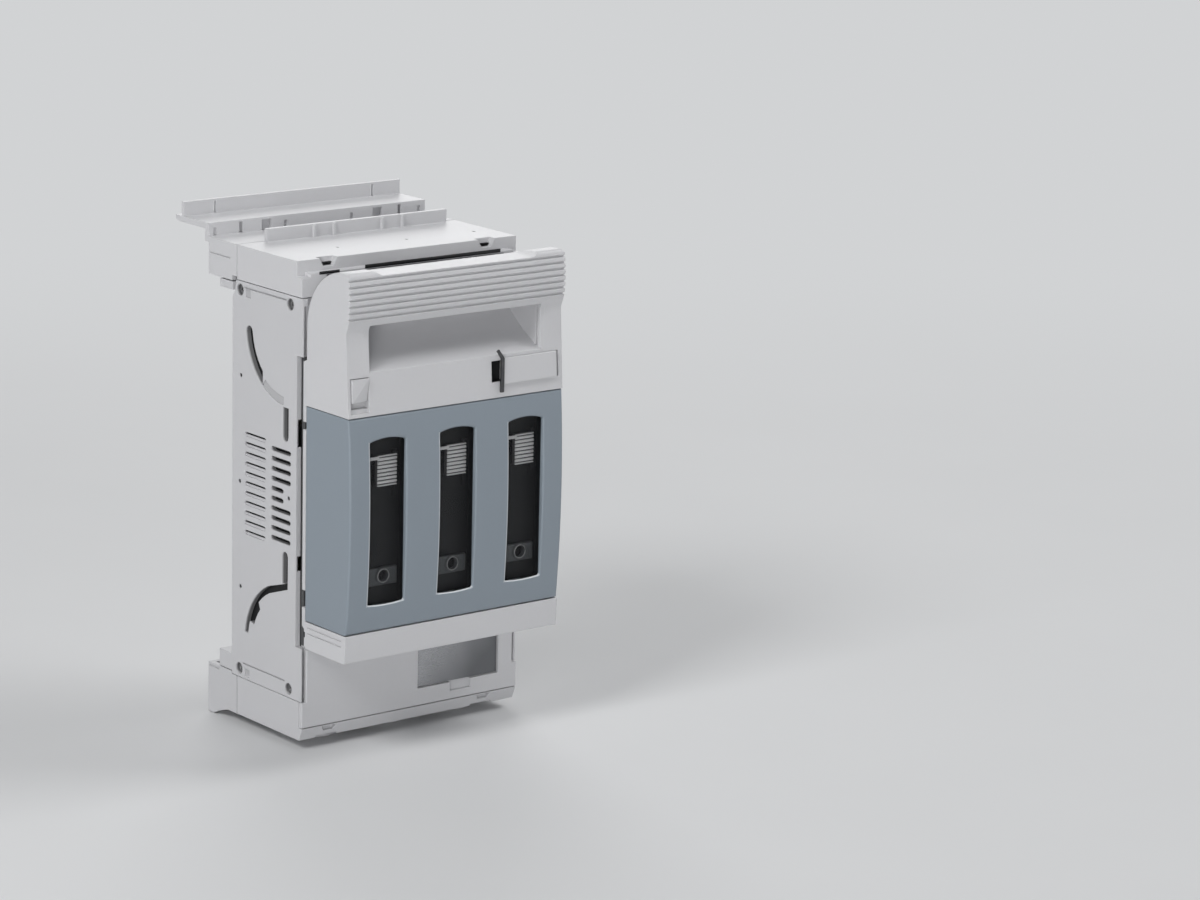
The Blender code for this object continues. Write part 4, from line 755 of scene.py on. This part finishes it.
pane_low, pane_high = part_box("window_pane_1")
node_low, node_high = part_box("fuse_catch_1")
centre = (pane_low.x + pane_high.x) / 2
left = centre + BODY_SHIFT - BODY_WIDTH / 2
right = left + BODY_WIDTH
front = node_low.y + GAP_FRONT
catch_low, catch_high = node_low.z + GAP_BELOW, node_high.z - GAP_ABOVE
catch = block((left, front, catch_low), (right, front + BODY_DEPTH, catch_high))
pitch = (catch_high - catch_low) / GROOVES
wedge = block(
    (left - SIDE_OVERCUT, front - OVERCUT, catch_low + GROOVE_START * pitch),
    (right + SIDE_OVERCUT, front + GROOVE_DEPTH, catch_low + GROOVE_END * pitch),
)
edit(wedge, BACK)
narrowing = (left, front, catch_low + GROOVE_MIDDLE * pitch)
bpy.ops.transform.resize(value=(1.0, 1.0, GROOVE_TAPER), center_override=narrowing)
done()
repeat(wedge, GROOVES, pitch)
combine(catch, wedge, "DIFFERENCE")
print("ribbed body with", len(catch.data.polygons), "faces")

# %% Its foot and its tab
FOOT_FRONT, FOOT_GAP = 0.85 * MM, 0.1 * MM
TAB_GAP, TAB_OVERLAP, TAB_DEPTH = 0.2 * MM, 0.5 * MM, 0.8 * MM
TAB_LOW, TAB_HIGH = 1.5 * MM, 0.3 * MM
foot = block(
    (left, front + FOOT_FRONT, catch_low), (node_high.x - FOOT_GAP, node_high.y, catch_high)
)
combine(catch, foot, "UNION")
tab = block(
    (pane_low.x + TAB_GAP, front, catch_high - TAB_LOW),
    (left + TAB_OVERLAP, front + TAB_DEPTH, catch_high - TAB_HIGH),
)
combine(catch, tab, "UNION")
soften(catch, 0.08 * MM)
print("catch with", len(catch.data.polygons), "faces")

# %% Three catches, one for each pole
def hand_out(model, stem, finish, bodies):
    """Copies a model to each pole, where it stands for the CAD solid, and removes the model."""
    model_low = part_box(f"{stem}_1")[0]
    for pole, body in zip(POLES, bodies):
        twin = copy_of(model)
        twin.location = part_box(f"{stem}_{pole}")[0] - model_low
        settle(twin, f"{stem}_detail_{pole}", finish, body)
        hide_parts(f"{stem}_{pole}")
    bpy.data.objects.remove(model, do_unlink=True)
    print("three of", stem)


catch_bodies = ("fuse_catch_left", "fuse_catch_middle", "fuse_catch_right")
hand_out(catch, "fuse_catch", catch_moulding, catch_bodies)

# %% [markdown]
# ## Test plates
# Low in each window is a dark grey plate with a round collar, where a test probe reaches the fuse.
# The collar is a cylinder joined to the plate, and a second cylinder cuts the hole through both.

# %% One test plate and its copies
COLLAR, HOLE = 3.25 * MM, 2.45 * MM
PLATE_SHIFT, HOLE_HEIGHT = 0.9 * MM, 5.25 * MM
PLATE_HALF, PLATE_THICK, PLATE_BOTTOM, PLATE_TOP = 7.0 * MM, 1.6 * MM, 1.3 * MM, 8.4 * MM
node_low, node_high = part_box("test_plate_1")
plate_middle = centre + PLATE_SHIFT
plate = block(
    (plate_middle - PLATE_HALF, node_high.y - PLATE_THICK, node_low.z + PLATE_BOTTOM),
    (plate_middle + PLATE_HALF, node_high.y, node_low.z + PLATE_TOP),
)
soften(plate, 0.5 * MM, 3, 80.0)


def rod(radius, back, front):
    """A cylinder along Y through the middle of the plate's hole."""
    middle = (plate_middle, (back + front) / 2, node_low.z + HOLE_HEIGHT)
    return fresh(
        bpy.ops.mesh.primitive_cylinder_add, vertices=40, radius=radius, depth=back - front,
        location=middle, rotation=(math.pi / 2, 0.0, 0.0),
    )


combine(plate, rod(COLLAR, node_high.y - 0.5 * MM, node_low.y), "UNION")
combine(plate, rod(HOLE, node_high.y + MM, node_low.y - MM), "DIFFERENCE")
soften(plate, 0.12 * MM)
hand_out(plate, "test_plate", probe_moulding, ("lid", "lid", "lid"))

# %% [markdown]
# In each hole one sees the rim of a metal bush. A torus that is flattened from front to back does
# for it, because only its front edge catches the light.

# %% A bright ring in each hole
RING_RADIUS, RING_WIRE, RING_FLATNESS = 2.65 * MM, 0.20 * MM, (1.0, 0.7, 1.0)
for pole in POLES:
    low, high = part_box(f"test_plate_{pole}")
    ring_middle = ((low.x + high.x) / 2 + PLATE_SHIFT, low.y - 0.05 * MM, low.z + HOLE_HEIGHT)
    ring = fresh(
        bpy.ops.mesh.primitive_torus_add, major_radius=RING_RADIUS, minor_radius=RING_WIRE,
        major_segments=40, minor_segments=10, location=ring_middle,
        rotation=(math.pi / 2, 0.0, 0.0),
    )
    edit(ring)
    bpy.ops.transform.resize(value=RING_FLATNESS, center_override=ring_middle)
    done()
    settle(ring, f"test_ring_{pole}", bright_steel, "lid", 60.0)
print("three test rings")

# %% [markdown]
# ## Rounded edges
# A mould leaves no knife edges. On the big housings a small real radius shows along every outline,
# most of all around the windows. The CAD solid's own mesh is copied, its loose triangles are
# merged and flat ones dissolved, and a Bevel modifier rounds what is left as an edge. Weighted
# normals keep the flat faces flat beside the narrow rounds.

# %% A copy with rounded edges
ROUND_ANGLE, FLAT_ANGLE = 48.0, 0.6


def edge_faults(mesh):
    """Counts the edges that don't have exactly two faces."""
    shape = bmesh.new()
    shape.from_mesh(mesh)
    faults = sum(1 for edge in shape.edges if len(edge.link_faces) != 2)
    shape.free()
    return faults


def rounded_copy(node, body, width, lip=None):
    """Stands for a CAD solid with its edges rounded by a width in millimetres."""
    solid = frame["nodes"][node]
    finish = solid.material_slots[0].material
    twin = bpy.data.objects.new(node, solid.data.copy())
    scene.collection.objects.link(twin)
    edit(twin)
    bpy.ops.mesh.remove_doubles(threshold=0.001 * MM)
    bpy.ops.mesh.dissolve_limited(angle_limit=math.radians(FLAT_ANGLE))
    done()
    before = edge_faults(twin.data)
    if lip:
        lip(twin)
    soften(twin, width * MM, 2, ROUND_ANGLE)
    settle(twin, f"{node}_rounded", finish, body)
    modify(twin, "WEIGHTED_NORMAL", keep_sharp=True)
    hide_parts(node)
    faults = (before, edge_faults(twin.data))
    print(node, len(twin.data.polygons), "faces, open edges before and after", *faults)
    return twin


print("rounded_copy is ready")

# %% [markdown]
# The lid cover gets a wider round along the outer edges of its windows. The faces of that round
# that look to the right or upwards most, on the left of each window and at its bottom, are painted
# in a paler finish of their own: a painted highlight.

# %% Window edges
LIP_WIDTH, LIP_SIDE, LIP_END = 0.75 * MM, 1.5 * MM, 2.5 * MM
PANES = [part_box(f"window_pane_{pole}") for pole in POLES]
PANE_FRONT = PANES[0][0].y


def by_window(spot, ahead):
    """Whether a point lies around a window and so far in front of the panes."""
    around = any(
        low.x - LIP_SIDE < spot.x < high.x + LIP_SIDE
        and low.z - LIP_END < spot.z < high.z + LIP_END
        for low, high in PANES
    )
    return around and spot.y < PANE_FRONT - ahead


def window_lip(item):
    """Gives the windows' outer edges a wider round than the rest."""
    edit(item)
    bpy.ops.mesh.select_all(action="DESELECT")
    bpy.ops.mesh.select_mode(type="EDGE")
    shape = bmesh.from_edit_mesh(item.data)
    count = 0
    for edge in shape.edges:
        middle = (edge.verts[0].co + edge.verts[1].co) / 2
        if by_window(middle, 0.6 * MM) and edge.calc_face_angle(0.0) > math.radians(50):
            edge.select_set(True)
            count += 1
    bmesh.update_edit_mesh(item.data)
    bpy.ops.mesh.bevel(offset=LIP_WIDTH, segments=3, affect="EDGES", clamp_overlap=True)
    bpy.ops.mesh.select_mode(type="FACE")
    done()
    print("window edges rounded:", count)


def paint_window_highlight(item):
    """Paints the rounds that look right or up with a pale painted highlight."""
    item.data.materials.append(window_highlight_paint)
    count = 0
    for face in item.data.polygons:
        out = face.normal
        # Faces that look right or up get the painted highlight.
        faces_the_light = abs(out.y) < 0.97 and max(out.x, out.z) > 0.2
        if faces_the_light and by_window(face.center, 0.2 * MM):
            face.material_index = 1
            count += 1
    print("polished faces:", count)


paint_window_highlight(rounded_copy("lid_cover", "lid", 0.30, window_lip))

# %% The pale housings
for node, body, width in (
    ("front_panel", "base", 0.25), ("top_cover", "base", 0.25), ("bottom_cover", "base", 0.25),
    ("left_side_plate", "base", 0.2), ("right_side_plate", "base", 0.2),
    ("lock_slider", "lock", 0.2), ("lid_frame", "lid", 0.25),
):
    rounded_copy(node, body, width)

# %% [markdown]
# ## What lies behind the openings
# The side plates are screwed on a third of a millimetre away from the frame. Through their slots
# one sees a dark sheet that paints the shade inside the housing: a plane with rounded corners,
# given a thickness by a Solidify modifier.
# A pale one behind it is the wall that shows inside when the lid is open.

# %% Sheets behind the side plates
SHEET_CORNER = 1.5 * MM


def sheet(name, x, y_span, z_span, thick, finish, slot_name):
    """A thin upright sheet across X, measured in millimetres."""
    item = fresh(bpy.ops.mesh.primitive_plane_add, size=1.0, rotation=(0, math.pi / 2, 0))
    item.scale = (1.0, (y_span[1] - y_span[0]) * MM, (z_span[1] - z_span[0]) * MM)
    item.location = (x * MM, sum(y_span) / 2 * MM, sum(z_span) / 2 * MM)
    bpy.ops.object.transform_apply(location=True, rotation=True, scale=True)
    edit(item)
    bpy.ops.mesh.bevel(offset=SHEET_CORNER, segments=4, affect="VERTICES")
    done()
    modify(item, "SOLIDIFY", thickness=thick * MM, offset=0.0)
    edit(item)
    bpy.ops.mesh.normals_make_consistent(inside=False)
    done()
    settle(item, name, finish, "base")


SHEETS = (  # name, X, span of Y, span of Z, thickness, finish and slot
    # The dark sheet paints the shade inside the housing behind the slots.
    ("vent_backing", 50.62, (-22.5, 14.9), (33.0, 170.0), 0.08, carrier_moulding, "dark_plastic"),
    ("inner_wall", 50.50, (-23.5, 15.3), (32.0, 171.0), 0.10, pale_moulding, "pale_plastic"),
)
for word, side in SIDES:
    for stem, x, *rest in SHEETS:
        sheet(f"{word}_{stem}", side * x, *rest)
print("two sheets behind each side plate")

# %% [markdown]
# The rear vents are louvres: each slot is half closed by a pale slat that leans outwards. One slat
# is a block whose outer face is shortened from the top, and an Array modifier repeats it row by
# row. Small dark pegs end in the plate's round holes: each is a short cylinder with a rounded rim.

# %% Louvre slats
ROWS, ROW_PITCH, ROW_MIDDLE = 11, 4.0 * MM, 100.9 * MM
SLAT_X, SLAT_Y = (52.05 * MM, 52.55 * MM), (-4.8 * MM, 10.4 * MM)
SLAT_BELOW, SLAT_ABOVE, SLAT_TAPER = 1.05 * MM, 0.05 * MM, 0.85


def add_slats(word, side):
    """The slats of one side plate, its side given as -1 or 1."""
    first = ROW_MIDDLE - (ROWS - 1) / 2 * ROW_PITCH
    x_low, x_high = sorted(side * x for x in SLAT_X)
    slat = block(
        (x_low, SLAT_Y[0], first - SLAT_BELOW), (x_high, SLAT_Y[1], first + SLAT_ABOVE)
    )
    edit(slat, Vector((side, 0, 0)))
    lower_edge = (side * SLAT_X[1], sum(SLAT_Y) / 2, first - SLAT_BELOW)
    bpy.ops.transform.resize(value=(1.0, 1.0, SLAT_TAPER), center_override=lower_edge)
    done()
    soften(slat, 0.12 * MM)
    repeat(slat, ROWS, ROW_PITCH)
    settle(slat, f"{word}_vent_slats", pale_moulding, "base")
    print(slat.name, "in", ROWS, "rows")


print("add_slats is ready")

# %% Slats and pegs on both sides
PEG_RADIUS, PEG_LENGTH, PEG_X = 0.82 * MM, 2.0 * MM, 51.75 * MM
PEG_SPOTS = ((13.25, 144.1), (13.25, 57.7), (13.95, 100.9), (-20.55, 100.9))
for word, side in SIDES:
    add_slats(word, side)
    for number, (y, z) in enumerate(PEG_SPOTS, 1):
        peg = fresh(
            bpy.ops.mesh.primitive_cylinder_add, vertices=20, radius=PEG_RADIUS, depth=PEG_LENGTH,
            location=(side * PEG_X, y * MM, z * MM), rotation=(0.0, math.pi / 2, 0.0),
        )
        soften(peg, 0.15 * MM)
        settle(peg, f"{word}_peg_{number}", carrier_moulding, "base")
print(len(PEG_SPOTS), "pegs on each side")

# %% [markdown]
# Along each side of the lid a dark strip on the frame's flange paints the shade in the gap between
# the lid and the side plate: two thin strips that meet in an L, made of two blocks that are joined.

# %% Painted shade along the lid's sides
GAP_SHADE_INNER, SKIRT_INNER, GAP_SHADE_OUTER = 47.5 * MM, 50.44 * MM, 50.62 * MM
GAP_SHADE_FRONT, GAP_SHADE_BACK, SKIRT_BACK = -27.85 * MM, -27.70 * MM, -26.0 * MM
GAP_SHADE_BOTTOM, GAP_SHADE_TOP = 42.4 * MM, 158.6 * MM


def strip(side, inner, back):
    """A thin upright block from the painted shade strip's outer corner."""
    x_low, x_high = sorted((side * inner, side * GAP_SHADE_OUTER))
    return block((x_low, GAP_SHADE_FRONT, GAP_SHADE_BOTTOM), (x_high, back, GAP_SHADE_TOP))


for word, side in SIDES:
    flange_shade = strip(side, GAP_SHADE_INNER, GAP_SHADE_BACK)
    combine(flange_shade, strip(side, SKIRT_INNER, SKIRT_BACK), "UNION")
    soften(flange_shade, 0.04 * MM)
    # Painted shade in the gap between lid and side plate.
    settle(flange_shade, f"{word}_lid_gap_shade", gap_shade_black, "base")
print("two seals")

# %% [markdown]
# Above the lid, the shade in the gap under the top cover's front is painted: two thin dark sheets
# with a rounded rim, a tenth of a millimetre thick, on the cover's front, that show dark over the
# lid's edge.

# %% Painted shade above the lid
TOP_SHADE_FRONT, TOP_SHADE_BACK = -29.06 * MM, -28.97 * MM
TOP_SHADES = (("left", (-45.0, 190.6), (-35.5, 191.8)), ("right", (-23.5, 190.9), (42.5, 192.4)))
for word, (x_low, z_low), (x_high, z_high) in TOP_SHADES:
    top_shade_sheet = block((x_low * MM, TOP_SHADE_FRONT, z_low * MM), (x_high * MM, TOP_SHADE_BACK, z_high * MM))
    soften(top_shade_sheet, 0.03 * MM)
    # Dark sheets that paint the shade in the gap above the lid.
    settle(top_shade_sheet, f"top_gap_shade_{word}", carrier_moulding, "base")
print("two dark slots")
